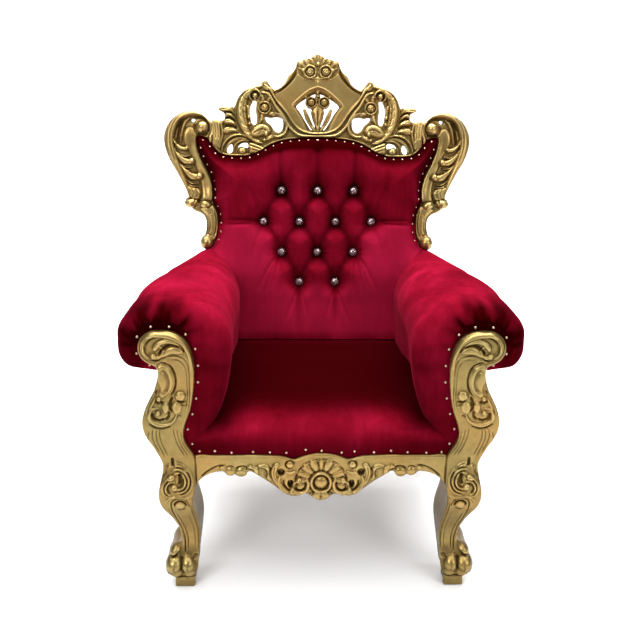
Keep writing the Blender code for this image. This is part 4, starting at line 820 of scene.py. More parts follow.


def carve_mesh(name, carving, front, rear, place, look, edge=5.0, flip=False, side=MOULDED, painted_shade_offset=0.0):
    """The closed mesh of a carving. front(u, v) and rear(u, v) give the depths in mm of the ground and
    of the back; heights stand on the ground. edge is the rounding of the outline, one or a grid of it."""
    step, field = carving.step, carving.inside
    relief = carving.h - edge * (1 - np.sqrt(1 - (1 - np.clip(field / edge, 0, 1)) ** 2))
    relief = np.where(field > -2 * step, relief, -edge)
    # points near the outline move onto it
    gv, gu = np.gradient(field, step)
    norm = np.maximum(np.hypot(gu, gv), 1e-6)
    push = np.clip(np.where(field < 0.3 * step, field / norm, 0), -1.1 * step, 1.1 * step)
    U = carving.U - push * gu / norm
    V = carving.V - push * gv / norm
    corners = [field[:-1, :-1], field[1:, :-1], field[:-1, 1:], field[1:, 1:]]
    cell = (np.min(corners, 0) > -0.72 * step) & (sum(corners) > 0)
    for _ in range(2):            # no two cells that touch at a corner alone
        low_left, low_right, up_left, up_right = cell[:-1, :-1], cell[:-1, 1:], cell[1:, :-1], cell[1:, 1:]
        rising = low_left & up_right & ~low_right & ~up_left
        falling = low_right & up_left & ~low_left & ~up_right
        cell[1:, 1:] &= ~rising
        cell[1:, :-1] &= ~falling
    rows, cols = np.nonzero(cell)
    wide = field.shape[1]
    a = rows * wide + cols
    quads = np.stack([a, a + 1, a + wide + 1, a + wide], 1)
    used, quads = np.unique(quads, return_inverse=True)
    quads = quads.reshape(-1, 4)
    size = len(used)

    def at_points(grid):
        return grid.ravel()[used]

    u, v = at_points(U), at_points(V)
    # rim: edges that only one quad uses
    edges = np.concatenate([quads[:, [k, (k + 1) % 4]] for k in range(4)])
    rim = edges[~np.isin(edges[:, 0] * size + edges[:, 1], edges[:, 1] * size + edges[:, 0])]
    ring = np.unique(rim)
    count = len(ring)
    top, back = front(u, v) + at_points(relief), rear(u, v)
    ends = np.searchsorted(ring, rim)
    for _ in range(4):            # even out the steps of the grid along the outline
        for line in (u, v):
            total, number = np.zeros((2, count))
            for one, other in ((0, 1), (1, 0)):
                np.add.at(total, ends[:, one], line[ring][ends[:, other]])
                np.add.at(number, ends[:, one], 1)
            line[ring] = 0.5 * line[ring] + 0.5 * total / number
    faces = quads.tolist()
    # walls: rings of points from the front edge to the rear one, set in a little to mould the side
    near = rim[:, ::-1]
    for k in range(len(side)):
        far = size + k * count + ends[:, ::-1]
        faces += np.column_stack([near, far[:, ::-1]]).tolist()
        near = far
    # rear face over the last ring
    last = size + (len(side) - 1) * count
    links = [tuple(link) for link in ends.tolist()]
    faces += [[last + k for k in tri] for tri in rear_cover(u[ring], v[ring], links)]
    slope_u, slope_v = at_points(gu / norm)[ring], at_points(gv / norm)[ring]
    rings = [place(u[ring] + slope_u * inset, top[ring] * (1 - share) + back[ring] * share,
                   v[ring] + slope_v * inset) for share, inset in side]
    verts = np.concatenate([place(u, top, v)] + rings)
    if flip:
        verts[:, 0] *= -1
        faces = [f[::-1] for f in faces]
    if carving.shade is None:     # wood: hollows of the relief, darkened as bole and dirt and as painted shade
        area = (field > 0).astype(float)
        hollow = blurred(np.where(field > 0, carving.h, 0), max(1, int(6 / step)), area) - carving.h
        # painted shade: the offset darkens a whole piece, and the moulded sides are darkened by a fixed
        # amount plus their inset
        hollows_and_painted_shade = [at_points(hollow) + painted_shade_offset] + [np.full(count, RIM_PAINTED_SHADE + inset) for _, inset in side]
    else:
        shade = at_points(carving.shade)
        hollows_and_painted_shade = [shade] + [shade[ring]] * len(side)
    return close_up(new_object(name, verts, faces, look, np.concatenate(hollows_and_painted_shade)))


def loft_mesh(name, grid, look, flip=False, shade=None, near=1e-6):
    """A closed solid through rings of points, with flat ends."""
    count, around = grid.shape[:2]
    verts = grid.reshape(-1, 3) * MM
    turn = np.arange(around)
    a = np.arange(count - 1)[:, None] * around + turn
    b = np.arange(count - 1)[:, None] * around + (turn + 1) % around
    faces = np.stack([a, b, b + around, a + around], -1).reshape(-1, 4).tolist()
    faces += [turn[::-1].tolist(), ((count - 1) * around + turn).tolist()]
    if flip:
        verts = verts * np.array([-1, 1, 1])
        faces = [f[::-1] for f in faces]
    return close_up(new_object(name, verts, faces, look, shade, 60), near)


def stand(thing, slot_name, *stands_for, fill=None):
    """Attach a finished piece to the root body and hide the CAD parts it stands for."""
    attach(thing, "root")
    if stands_for:
        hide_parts(*stands_for)


# ---- looks ----
class Look:
    """A node material put together step by step."""

    def __init__(self, name):
        self.material = bpy.data.materials.new(name)
        self.material.use_nodes = True
        self.tree = self.material.node_tree
        self.shader = self.tree.nodes["Principled BSDF"]
        self.place = self.add("ShaderNodeTexCoord").outputs["Object"]

    def plug(self, socket, value):
        """Link a socket into this one, or set its number or colour."""
        if hasattr(value, "is_linked"):
            self.tree.links.new(value, socket)
        elif isinstance(value, tuple) and socket.type == "RGBA":
            socket.default_value = (*value, 1)
        else:
            socket.default_value = value

    def add(self, kind, **inputs):
        node = self.tree.nodes.new(kind)
        for key, value in inputs.items():
            self.plug(node.inputs[key.replace("_", " ")], value)
        return node

    def noise(self, scale, detail=3.0, rough=0.5, stretch=None, distort=0.0):
        place = self.place
        if stretch is not None:
            place = self.add("ShaderNodeMapping", Vector=place, Scale=stretch).outputs[0]
        return self.add("ShaderNodeTexNoise", Vector=place, Scale=scale, Detail=detail, Roughness=rough,
                        Distortion=distort).outputs["Fac"]

    def hollows_and_painted_shade(self):
        node = self.add("ShaderNodeAttribute")
        node.attribute_name = "hollows_and_painted_shade"
        return node.outputs["Fac"]

    def ramp(self, value, *stops):
        node = self.add("ShaderNodeValToRGB", Fac=value)
        bar = node.color_ramp
        while len(bar.elements) < len(stops):
            bar.elements.new(0.5)
        for element, (at, colour) in zip(bar.elements, stops):
            element.position = at
            element.color = (*colour, 1)
        return node.outputs["Color"]

    def math(self, kind, *values, clamp=False):
        node = self.tree.nodes.new("ShaderNodeMath")
        node.operation = kind
        node.use_clamp = clamp
        for socket, value in zip(node.inputs, values):
            self.plug(socket, value)
        return node.outputs[0]

    def total(self, start, *parts):
        """start and each value times its weight, the sum held between 0 and 1."""
        for left, (value, weight) in zip(range(len(parts), 0, -1), parts):
            start = self.math("MULTIPLY_ADD", value, weight, start, clamp=left == 1)
        return start

    def mix(self, factor, a, b, kind="MIX"):
        node = self.tree.nodes.new("ShaderNodeMix")
        node.data_type = "RGBA"
        node.blend_type = kind
        for k, value in ((0, factor), (6, a), (7, b)):
            self.plug(node.inputs[k], value)
        return node.outputs[2]

    def bumps(self, *layers):
        """Fine relief: each layer a height, its strength and its depth in metres."""
        normal = None
        for height, strength, distance in layers:
            node = self.add("ShaderNodeBump", Height=height, Strength=strength, Distance=distance)
            if normal is not None:
                self.plug(node.inputs["Normal"], normal)
            normal = node.outputs[0]
        return normal

    def set(self, **inputs):
        for key, value in inputs.items():
            self.plug(self.shader.inputs[key.replace("_", " ")], value)
        return self.material


def gold_look(name="gilt_wood", light=(1.0, 1.0, 1.0), rough=0.25):
    """Old gilding: pale where it is rubbed, brown bole and dirt in the hollows deepened by painted shade,
    and painted shade lower down.
    """
    k = Look(name)
    # how deep the relief lies: browner hollows, partly bole and dirt, partly painted shade
    deep = k.math("MAXIMUM", k.math("MINIMUM", k.hollows_and_painted_shade(), 3.4), -2.8)
    cloud, fine = k.noise(9.0, 4.0, 0.6), k.noise(70.0, 5.0, 0.65)
    height = k.add("ShaderNodeSeparateXYZ", Vector=k.place).outputs["Z"]       # painted shade, darker towards the floor
    tone = k.total(0.222, (height, 0.10), (deep, -0.060), (cloud, 0.26), (fine, 0.22))
    stops = ((0.0, (0.040, 0.025, 0.008)), (0.28, (0.130, 0.084, 0.024)), (0.52, (0.300, 0.204, 0.068)),
             (0.76, (0.460, 0.338, 0.134)), (1.0, (0.720, 0.580, 0.290)))
    # light scales the colours: a paler tint for the nail heads, painted shade for the rear legs
    colour = k.ramp(tone, *((at, tuple(min(c * more, 1) for c, more in zip(tint, light)))
                            for at, tint in stops))
    # warmer where the bole shows, greener where the lacquer is old
    hue = k.ramp(k.noise(7.0, 3.0, 0.55), (0.36, (1.06, 0.97, 0.90)), (0.64, (0.95, 1.02, 1.04)))
    return k.set(Base_Color=k.mix(1.0, colour, hue, "MULTIPLY"), Metallic=0.85,
                 Roughness=k.total(rough, (fine, 0.16), (deep, 0.012)),
                 Normal=k.bumps((k.noise(26.0, 3.0, 0.55), 0.25, 0.0012), (fine, 0.18, 0.0004)))


def velvet_look():
    """Crimson velvet: a dark pile with a bright edge, brushed unevenly, with painted shade and painted
    highlight from its pile attribute.
    """
    k = Look("velvet")
    pile_painted_shade = k.hollows_and_painted_shade()
    brushed = k.noise(6.0, 4.0, 0.55, (1.0, 1.0, 0.6), 0.8)
    crushed = k.noise(22.0, 4.0, 0.6, (1.0, 0.8, 0.5), 0.6)
    streak = k.noise(75.0, 3.0, 0.6, (1.0, 0.6, 0.10))
    pile = k.noise(900.0, 2.0, 0.6)
    tone = k.total(0.0, (brushed, 0.54), (crushed, 0.30), (streak, 0.16))
    colour = k.ramp(tone, (0.34, (0.100, 0.0012, 0.0055)), (0.50, (0.172, 0.0026, 0.0125)),
                    (0.68, (0.275, 0.0052, 0.0260)))
    # painted shade: mixed towards near black as the pile attribute rises
    colour = k.mix(k.total(0.0, (pile_painted_shade, 1.0)), colour, (0.018, 0.0001, 0.0003))
    colour = k.mix(k.total(0.0, (pile_painted_shade, -1.0)), colour, (0.420, 0.012, 0.055))       # painted highlight, as pile that stands up
    return k.set(Base_Color=colour, Roughness=0.9, Sheen_Weight=0.12, Sheen_Roughness=0.35,
                 Sheen_Tint=(1.0, 0.06, 0.16), Specular_IOR_Level=0.0,
                 Normal=k.bumps((crushed, 0.20, 0.0040), (streak, 0.10, 0.0015), (pile, 0.35, 0.0006)))


def crystal_look():
    """Foiled cut glass, with facets that catch different parts of the room."""
    k = Look("crystal")
    cloud = k.noise(210.0, 2.0, 0.5)
    colour = k.ramp(cloud, (0.36, (0.12, 0.06, 0.07)), (0.50, (0.40, 0.28, 0.30)),
                    (0.62, (0.62, 0.50, 0.52)))
    return k.set(Base_Color=colour, Metallic=0.75, Roughness=k.total(0.08, (cloud, 0.10)),
                 Coat_Weight=0.3, Coat_Roughness=0.04)


def floor_look():
    k = Look("studio_floor")
    colour = k.ramp(k.noise(1.5, 2.0, 0.5), (0.2, (0.90, 0.90, 0.90)), (0.8, (0.93, 0.93, 0.93)))
    return k.set(Base_Color=colour, Roughness=0.75, Specular_IOR_Level=0.2)


GILT, VELVET, CRYSTAL, FLOOR = gold_look(), velvet_look(), crystal_look(), floor_look()
NAIL = gold_look("nail_heads", (1.9, 2.1, 4.4), 0.22)
# painted shade: a darker, rougher copy of the gilding for the rear legs, which stand in shade
GILT_SHADED = gold_look("gilt_wood_painted_shade", (0.60, 0.56, 0.50), 0.40)


# ---- upholstery ----
PAD_OUTLINE = [(366, 377), (366, 630), (362, 662), (350, 693), (330, 712), (312, 728), (300, 745),
    (300, 830), (312, 860), (318, 900), (340, 950), (352, 1000), (350, 1044), (300, 1048), (200, 1030),
    (100, 1048), (0, 1056), (-400, 1056), (-400, 377)]
PAD_CROWN = 46.0                  # front of the inside back before the carving plane, mm
BUTTON_ROWS = ((888, 3), (800, 4), (713, 3), (627, 2))       # height up the back and number
BUTTON_PITCH = 103
ARM_FOOT, ARM_OUTER = 363.6, 366  # lower edge and outer face of the arms
ARM_FRONT_Y, ARM_FULL_Y, ARM_REAR_Y = -386, -325, 40.0


def arm_section(inner, *points):
    """A section of the arm, from the foot of its inner face round the roll to the outer foot."""
    return [(inner, ARM_FOOT), *points, (ARM_OUTER, ARM_FOOT)]


ARM_EDGE = arm_section(314, (306, 440), (284, 530), (282, 606), (294, 652), (316, 679), (348, 691),
    (386, 689), (416, 674), (433, 648), (434, 617), (420, 592), (396, 580), (366, 574))
ARM_FULL = arm_section(306, (280, 382), (262, 405), (245, 440), (227, 490), (216, 540), (210, 606),
    (224, 668), (266, 706), (326, 720), (392, 713), (442, 698), (467, 668), (471, 634), (469, 598),
    (452, 572), (414, 562), (366, 566))
ARM_MIDDLE = arm_section(290, (258, 440), (240, 520), (228, 575), (210, 618), (222, 672), (262, 705),
    (320, 719), (384, 712), (438, 690), (464, 654), (464, 612), (442, 585), (404, 573), (366, 572))
ARM_REAR = arm_section(264, (238, 440), (228, 530), (220, 582), (216, 618), (236, 666), (270, 700),
    (318, 713), (370, 706), (408, 685), (424, 649), (414, 611), (388, 590), (374, 587), (366, 577))
ARM_END = arm_section(250, (228, 440), (221, 530), (228, 606), (250, 660), (280, 692), (306, 704),
    (334, 697), (354, 678), (366, 648), (369, 618), (368, 602), (367, 592), (366, 578))
# directions of the pleats round the volute, degrees from outwards, and how deep each is, mm
PLEATS = ((2, 3), (17, 4.5), (33, 6), (47, 4), (60, 6.5), (74, 4.5), (86, 7), (99, 5), (112, 7), (126, 5),
    (141, 7), (155, 4.5), (169, 5), (183, 3))
SEAT_HALF = 326
SEAT_LEDGE = 362.6                # below this height the seat runs on under the arms
SEAT_NAIL_Y = -0.3905             # where the nails of the seat stand, m
SEAT_PROFILE = [(-386, 348), (-390, 368), (-391, 385), (-389, 403), (-384, 421), (-373, 439), (-355, 453),
    (-330, 460), (-290, 465), (-240, 467.5), (-180, 468), (-100, 467), (-40, 465), (20, 462), (80, 459)]
# distance over the profile and the painted shade as pile that lies down, painted highlight below zero: in
# the middle, aside and at the arms
SEAT_PAINTED_SHADE = (((0, 0.78), (20, 0.72), (40, 0.56), (58, 0.24), (72, 0.0), (84, 0.06), (98, 0.22), (112, 0.44),
    (130, 0.68), (150, 0.84), (180, 0.96), (230, 1.0)), ((0, 0.78), (20, 0.76), (40, 0.62), (52, 0.44),
    (62, 0.2), (74, -0.06), (86, -0.14), (98, -0.04), (112, 0.22), (130, 0.52), (158, 0.84), (195, 0.96),
    (240, 1.0)), ((0, 0.8), (25, 0.78), (40, 0.8), (50, 0.72), (60, 0.54), (71, 0.38), (82, 0.48),
    (92, 0.72), (104, 0.9), (118, 0.98), (150, 1.0), (240, 1.0)))
BACK_COVER = [(356, 377), (356, 500), (356, 630), (344, 680), (316, 722), (302, 745), (302, 850),
    (318, 940), (318, 985), (262, 996), (200, 1000), (120, 1028), (0, 1046), (-100, 1046), (-100, 377)]
NAILS_UNDER_CREST = [(-4, 1037), (30, 1036), *CREST_OUTLINE[-3:-13:-1], (308, 1020), (322, 1032)]
NAILS_BY_WING = [(334, 1012), (330, 995), (320, 970), (308, 948), (299, 928), (293, 902), (292, 875),
    (293, 856), (284, 838), (278, 820), (276, 795), (278, 765), (284, 745)]


def button_places():
    """u and v of the buttons, row by row from the top, in mm."""
    return [[((i - (count - 1) / 2) * BUTTON_PITCH, v) for i in range(count)] for v, count in BUTTON_ROWS]


def creases():
    """Fold lines of the tufting: points, depth and width in mm, and how the depth runs along them."""
    rows, lines = button_places(), []
    for upper, lower in zip(rows[:-1], rows[1:]):
        for a in upper:
            for b in lower:
                if abs(a[0] - b[0]) < BUTTON_PITCH * 0.6:
                    middle = ((a[0] * 0.4 + b[0] * 0.6), (a[1] + b[1]) / 2)
                    lines.append(((a, middle, b), 19.0, 9.5, (1.0, 0.78, 0.7, 0.78, 1.0)))
    for u, v in rows[0]:          # pleats up to the crest
        path = ((u, v), (u * 1.02, v + 50), (u * 1.05, 1034))
        lines.append((path, 16.0, 8.0, (1.0, 0.72, 0.5, 0.42, 0.5)))
    for s in (-1, 1):
        far, out, low = s * 1.5 * BUTTON_PITCH, s * BUTTON_PITCH, s * 0.5 * BUTTON_PITCH
        # seam running out to the frame, in two close folds
        lines.append((((far, 800), (s * 230, 803), (s * 312, 801)), 9.0, 4.5, (1.0, 0.8, 0.7, 0.7, 0.9)))
        lines.append((((far, 797), (s * 230, 791), (s * 312, 786)), 5.0, 3.5, (1.0, 0.8, 0.7, 0.6, 0.6)))
        # drag lines off the buttons
        for start, way, end, deep, wide in (
                ((low, 627), (53, 560), (54, 450), 16, 7), ((low, 627), (66, 580), (90, 515), 8, 4),
                ((low, 627), (40, 580), (26, 520), 7, 4), ((low, 627), (59, 570), (70, 490), 7, 3.5),
                ((out, 713), (118, 672), (128, 610), 11, 6), ((out, 713), (134, 676), (170, 608), 8, 4.5),
                ((out, 713), (106, 668), (106, 600), 8, 4), ((out, 713), (126, 674), (150, 600), 7, 3.5),
                ((far, 800), (172, 840), (204, 915), 5, 8), ((far, 800), (168, 765), (186, 700), 7, 7),
                ((far, 800), (150, 752), (150, 700), 4, 5), ((out, 888), (122, 930), (136, 990), 5, 6),
                ((out, 888), (90, 930), (80, 985), 3, 5), ((0, 888), (14, 930), (22, 985), 3, 5)):
            lines.append(((start, (s * way[0], way[1]), (s * end[0], end[1])), deep, wide,
                          (1.0, 0.7, 0.45, 0.3, 0.1)))
    return lines


def pad_field(step):
    """Grid of the inside back: its area, the depth of its front before the carving plane and its painted
    shade.
    """
    c = Carving((0, 366), (372, 1062), step)
    reach = 420                   # so far that the distances cover the whole grid
    win, gap = c.polygon(PAD_OUTLINE, 0, reach)
    c.inside[win] = gap
    for outline, smooth in ((WING_OUTLINE, 3), (CREST_OUTLINE, 2)):       # 2 mm under the carving
        win, gap = c.polygon(outline, smooth, reach)
        c.inside[win] = np.minimum(c.inside[win], 2.0 - gap)
    edge = np.clip((c.inside - 8) / 80, 0, 1)
    rise = np.sqrt(1 - (1 - edge) ** 2)
    depth = 4.0 + (PAD_CROWN - 4.0) * rise * (0.84 + 0.16 * bump((c.V - 400) / 90))
    fold, dimple, pleats = np.zeros((3, *depth.shape))
    for line, deep, width, course in creases():
        win, gap, share = c.near(curve_through(line, 6), 70)
        deep_here = deep * np.interp(share, np.linspace(0, 1, 5), course)
        value = deep_here * np.exp(-(np.sqrt(gap * gap + 2) - 1.4) / width) * bump((70 - gap) / 20)
        fold[win] = np.maximum(fold[win], value) + 0.25 * np.minimum(fold[win], value)
    near_button = np.full_like(depth, 999.0)
    for k, (bu, bv) in enumerate(sum(button_places(), [])):
        du, dv = c.U - bu, c.V - bv
        r = np.hypot(du, dv)
        near_button = np.minimum(near_button, np.hypot(du, dv + 5))
        dimple = np.maximum(dimple, 9 * bell(r / 15) + 11 * np.clip(1 - r / 50, 0, 1) ** 1.4)
        angle = np.arctan2(dv, du)
        wave = np.sin(9 * angle + 1.7 * k) * 0.6 + np.sin(14 * angle + 0.9 * k) * 0.4
        pleats += 1.5 * wave * bell((r - 19) / 10)
    wander = 1.8 * np.sin(c.U / 47 + 1.3) * np.sin(c.V / 61 + 0.4)
    puff = 7 * np.clip(near_button / 60, 0, 1) * bump((c.V - 560) / 90)
    sunk = 29 * np.tanh((fold + dimple) / 25) - pleats
    c.h = depth + (puff - sunk + wander) * bump(edge * 2)
    # gathers along the edge of the frame
    ripple = np.sin(c.U / 5.2 + np.sin(c.V / 21) * 1.5) * bell((c.inside - 18) / 12)
    c.h += 1.1 * ripple * (c.V > 860)
    ripple = np.sin(c.V / 6.4 + np.sin(c.U / 17)) * bell((c.inside - 16) / 9)
    c.h += 0.8 * ripple * (c.V > 730) * (c.V < 940) * (c.U > 250)
    # keep clear of the seat and fall away inside the arms
    c.h = np.minimum(c.h, 17 + 60 * bump((c.V - 455.3) / 8))
    win, gap = c.polygon(ARM_END, 0, reach)
    limit = np.where(gap > 0, 2 + 60 * np.clip(1 - gap / 10, 0, 1), 99.0)
    c.h[win] = np.minimum(c.h[win], limit)
    # painted shade, as pile that lies down: in the folds and round the buttons, along the frame, towards
    # the crest, higher up and just over the seat; painted highlight on the lower back
    c.shade = 0.80 * np.clip(sunk / 28, 0, 1) ** 1.4 + 0.7 * bell(near_button / 17)
    width = 11 + 15 * bump((c.V - 900) / 60)
    c.shade += 0.72 * bell(np.maximum(c.inside - 4, 0) / width) * bump((c.V - 700) / 120)
    c.shade += 0.14 * bump((c.V - 600) / 160) + 0.20 * bump((c.V - 800) / 120)
    c.shade += 0.34 * bump((492 - c.V) / 32) - 0.30 * bump((650 - c.V) / 60)
    c.shade += bump((260 - c.U) / 80) * (0.14 * bump((c.V - 930) / 60) + 0.26 * bump((c.V - 980) / 30))
    # and painted highlight below the side seams, as pile brushed up
    c.shade -= 0.50 * bump((c.U - 70) / 80) * bump((798 - c.V) / 14) * bump((c.V - 560) / 130)
    return c.mirror()


def smooth_between(places, values, at):
    """Values at a place, on a smooth curve through the given ones."""
    k = min(max(int(np.searchsorted(places, at)) - 1, 0), len(places) - 2)
    gap = places[k + 1] - places[k]
    t = (at - places[k]) / gap
    pace = [(after - before) / (far - near) for before, after, near, far
            in zip(values[:-2], values[2:], places[:-2], places[2:])]
    level = np.zeros_like(values[0])
    pace = [level] + pace + [level]
    return ((1 + 2 * t) * (1 - t) ** 2 * values[k] + t * (1 - t) ** 2 * gap * pace[k]
            + t * t * (3 - 2 * t) * values[k + 1] - t * t * (1 - t) * gap * pace[k + 1])


def ring_normals(grid):
    """Outward directions at the points of a lofted grid."""
    n = np.cross(np.gradient(grid, axis=0), np.roll(grid, -1, 1) - np.roll(grid, 1, 1))
    n /= np.maximum(np.linalg.norm(n, axis=2, keepdims=True), 1e-6)
    if (n * (grid - grid.mean(1, keepdims=True))).sum(2).mean() < 0:
        n = -n
    return n


def arm_grid():
    """Rings of points round the padded arm with its roll, pleated round the front volute, and its painted
    shade as pile.
    """
    around = 250
    edge, full, middle, rear, end = (even_points(curve_through(s, 14), around)[0] for s in
                                     (ARM_EDGE, ARM_FULL, ARM_MIDDLE, ARM_REAR, ARM_END))
    places = (ARM_FULL_Y, -250.0, -170.0, -100.0, -30.0, ARM_REAR_Y)
    sections = (full, full * 0.75 + middle * 0.25, middle, middle * 0.95 + rear * 0.05,
                middle * 0.65 + rear * 0.35, rear)
    rows = []

    def add_ring(ring, y):
        rows.append(np.column_stack([ring[:, 0], np.zeros(around) + y, ring[:, 1]]))

    for swing in np.linspace(0, np.pi / 2, 30):
        add_ring(edge + (full - edge) * math.sin(swing),
                 ARM_FRONT_Y + (ARM_FULL_Y - ARM_FRONT_Y) * (1 - math.cos(swing)))
    for y in np.linspace(ARM_FULL_Y, ARM_REAR_Y, 90)[1:]:
        add_ring(smooth_between(places, sections, y), y)
    for t in np.linspace(0, 1, 34)[1:]:
        ring = rear * (1 - t) + end * t
        add_ring(ring, ARM_REAR_Y * (1 - t) + back_line(ring[:, 1], -2.3) * t)
    grid = np.array(rows)
    u, y, z = grid[..., 0], grid[..., 1], grid[..., 2]
    du, dz = u - VOLUTE[0], z - VOLUTE[1]
    reach = np.maximum(np.hypot(du, dz), 1)
    angle = np.degrees(np.arctan2(dz, du))
    angle = np.where(angle < -60, angle + 360, angle)
    deep_in = y - ARM_FRONT_Y
    away = np.maximum(reach - 46, 0) + 0.8 * deep_in
    spread = np.maximum(reach - 46, 0) + (0.62 - 0.34 * bump((105 - angle) / 75)) * deep_in
    sink = np.zeros_like(reach)
    for k, (way, deep) in enumerate(PLEATS):
        bend = 5 * math.sin(2.3 * k) * np.clip(away / 60, 0, 1.5)
        gap = np.radians(angle - way - bend) * reach
        wide = 2.2 + 0.05 * away
        line = np.where(gap > 0, np.exp(-gap / (2.4 * wide)), np.exp(gap / wide))
        sink += 1.7 * deep * line * bell(away / (40 + 22 * math.sin(1.9 * k + 0.6))) * bump(away / 10)
    # pulled folds down the inner front and slack in the top of the roll
    for level, deep, width in ((640, 1.4, 16), (596, 1.5, 18), (520, 0.9, 22), (455, 0.9, 20)):
        fold_z = level - 0.35 * (300 - u)
        sink += deep * bell((z - fold_z) / width) * bump((320 - u) / 50) * bell(deep_in / 60)
    slack = 1.8 * np.sin(y / 52 + np.radians(angle) * 1.7)
    sink += slack * bump(deep_in / 70) * bump((z - 560) / 50) * bump((60 - y) / 80)
    grid = grid - ring_normals(grid) * (sink * (z > 372))[..., None]
    grid[..., 0] = np.where(grid[..., 2] < 575, np.minimum(grid[..., 0], ARM_OUTER), grid[..., 0])
    # painted shade on the front of the roll as crushed pile, with a ragged upper edge along the pleats;
    # painted shade low on the inner front, in the pleat valleys and overall, painted highlight on the
    # ridges and the rear inner edge
    turn = np.radians(angle)
    ragged = 13 * np.sin(turn * 7 + 0.8) + 8 * np.sin(turn * 15 + 2) - 0.12 * angle
    front = bump((140 + ragged - spread) / 84) * bump((angle + 80) / 34) * bump((178 - angle) / 60)
    low_in = bump((334 - u) / 30) * bump((690 - z) / 120) * (1 - bump((deep_in - 25) / 120))
    rear_in = bump((320 - u) / 60) * bump((deep_in - 120) / 160)
    tuck = sink - blurred(np.tile(sink, (1, 3)), max(2, int(around * 0.028)))[:, around:2 * around]
    shade = (0.76 * front * bump((z - 540) / 40) + 0.42 * low_in - 0.12 * rear_in + 0.03 * sink
             + 0.09 * tuck + 0.12)
    return grid, np.clip(shade, -0.1, 1)


def inner_face(grid):
    """A function giving how far out the inner face of the arm is, in mm, at a depth y and height z."""
    spacing = 4.0
    levels = np.arange(ARM_FOOT, 480, spacing)
    table, rows = [], []
    for ring in grid:
        top = int(np.argmax(ring[:, 2]))
        rising = np.maximum.accumulate(ring[1:top, 2])
        table.append(np.interp(levels, rising, ring[1:top, 0]))
        rows.append(np.interp(levels, rising, ring[1:top, 1]))
    table, rows = np.array(table), np.array(rows)

    def half(y, z):
        k = np.clip((np.asarray(z) - levels[0]) / spacing, 0, len(levels) - 1.001)
        low = k.astype(int)
        near, far = (np.array([np.interp(p, rows[:, a], table[:, a]) for p, a in zip(y, low + up)])
                     for up in (0, 1))
        return near * (1 - (k - low)) + far * (k - low)

    return half


def make_seat(arm_face):
    """The sprung seat: crowned, rounded over the front, slightly sunk where it is sat on."""
    count = 150
    profile, at = even_points(curve_through(SEAT_PROFILE, 8), count)

    def reach(y, z):
        """How far out the seat goes: up to the arms, and further below them."""
        return np.where(z > SEAT_LEDGE, np.minimum(arm_face(y, z) - 0.8, SEAT_HALF), SEAT_HALF)

    def ring_at(t):
        x = np.full(count, t * 290.0)
        for _ in range(4):            # the folds depend on x, and x on how far the folded profile goes
            s = np.abs(x) / SEAT_HALF
            y, z = profile.T.copy()
            share = np.clip((z - 363) / 105, 0, 1)
            y += 10 * share * s * s
            z -= 50 * share * s ** 3 * (1 - 0.75 * bump((y + 230) / 230))
            # dished a little where it is sat on, and gathered over the nails
            z -= 3.0 * np.exp(-((y + 130) / 110) ** 2 - (x / 150) ** 2) * (at > 120)
            y -= 0.9 * (np.sin(x / 9.5 + 0.8 * np.sin(x / 31)) * bell((z - 372) / 12) * (at < 60))
            # folds dragged in from the front corners
            for level, deep, width, start in ((431, 8, 5, 0.40), (404, 6, 6, 0.55), (446, 4, 4, 0.65)):
                line = level - 16 * s ** 2 + 5 * np.sin(x / 45)
                y += deep * bell((z - line) / width) * bump((s - start) / 0.5) * (y < -300)
            x = t * reach(y, z)
        # down behind, inwards over the rails and forward again underneath
        tail_z = np.array([min(456.0, z[-1] - 1), 366])
        y = np.concatenate([y, back_line(tail_z, -20), [129, 129, -360.5, -361]])
        z = np.concatenate([z, tail_z, [362, 318, 318, 347.5]])
        return np.column_stack([t * reach(y, z), y, z])

    rings = [ring_at(t) for t in np.linspace(-1, 1, 180)]
    sides = []
    for end in (rings[0], rings[-1]):         # the flanks go down along the arms
        flank = []
        for f in (0.25, 0.5, 0.75, 1.0):
            x, y, z = end.T
            high = z > SEAT_LEDGE
            z = np.where(high, z + (SEAT_LEDGE - z) * f, z)
            out = np.where(high, np.minimum(arm_face(y, z) - 0.8, SEAT_HALF), np.abs(x))
            flank.append(np.column_stack([np.sign(x[0]) * out, y, z]))
        sides.append(flank)
    grid = np.array(sides[0][::-1] + rings + sides[1])
    # painted shade as pile that lies down, from the lower edge over the front and back: middle, aside, at
    # the arms; darkest on the flanks
    off = np.abs(grid[:, :count, 0]) / SEAT_HALF
    shade = np.ones(grid.shape[:2]) * 0.9
    middle, aside, outer = (np.interp(at, *zip(*table))[None, :] for table in SEAT_PAINTED_SHADE)
    first, second = bump((off - 0.20) / 0.30), bump((off - 0.48) / 0.26)
    shade[:, :count] = middle * (1 - first) + aside * (first - second) + outer * second
    shade[:4] = shade[-4:] = 1.0
    return loft_mesh("seat_velvet", grid, VELVET, shade=shade, near=2e-5)


# ---- carved pieces ----
RAIL_FRONT, RAIL_REAR = 388, 362  # ground and rear of the apron, mm before the middle of the chair
BOARD_FRONT, BOARD_REAR = -12, -35            # the same of wings and crest, from the plane of the back


def leg_depths(table, spread=9):
    """Depth of a leg line over its height, with the corners of the table rounded off."""
    z, y = np.array(table, float).T
    fine = np.arange(z[0] - 60, z[-1] + 61)
    weight = np.exp(-(np.arange(-3 * spread, 3 * spread + 1) / spread) ** 2 / 2)
    line = np.convolve(np.interp(fine, z, y), weight / weight.sum(), "same")
    return lambda u, v: -np.interp(v, fine, line)


def pair(make, slot_name, node, fill=None):
    """The right piece and its mirror image. make takes the side's name and whether to flip."""
    for side in ("right", "left"):
        stand(make(side, side == "left"), slot_name, node + side, fill=fill)


post = carve_post(GRAIN)
front_line, rear_line = leg_depths(LEG_FRONT), leg_depths(LEG_REAR)
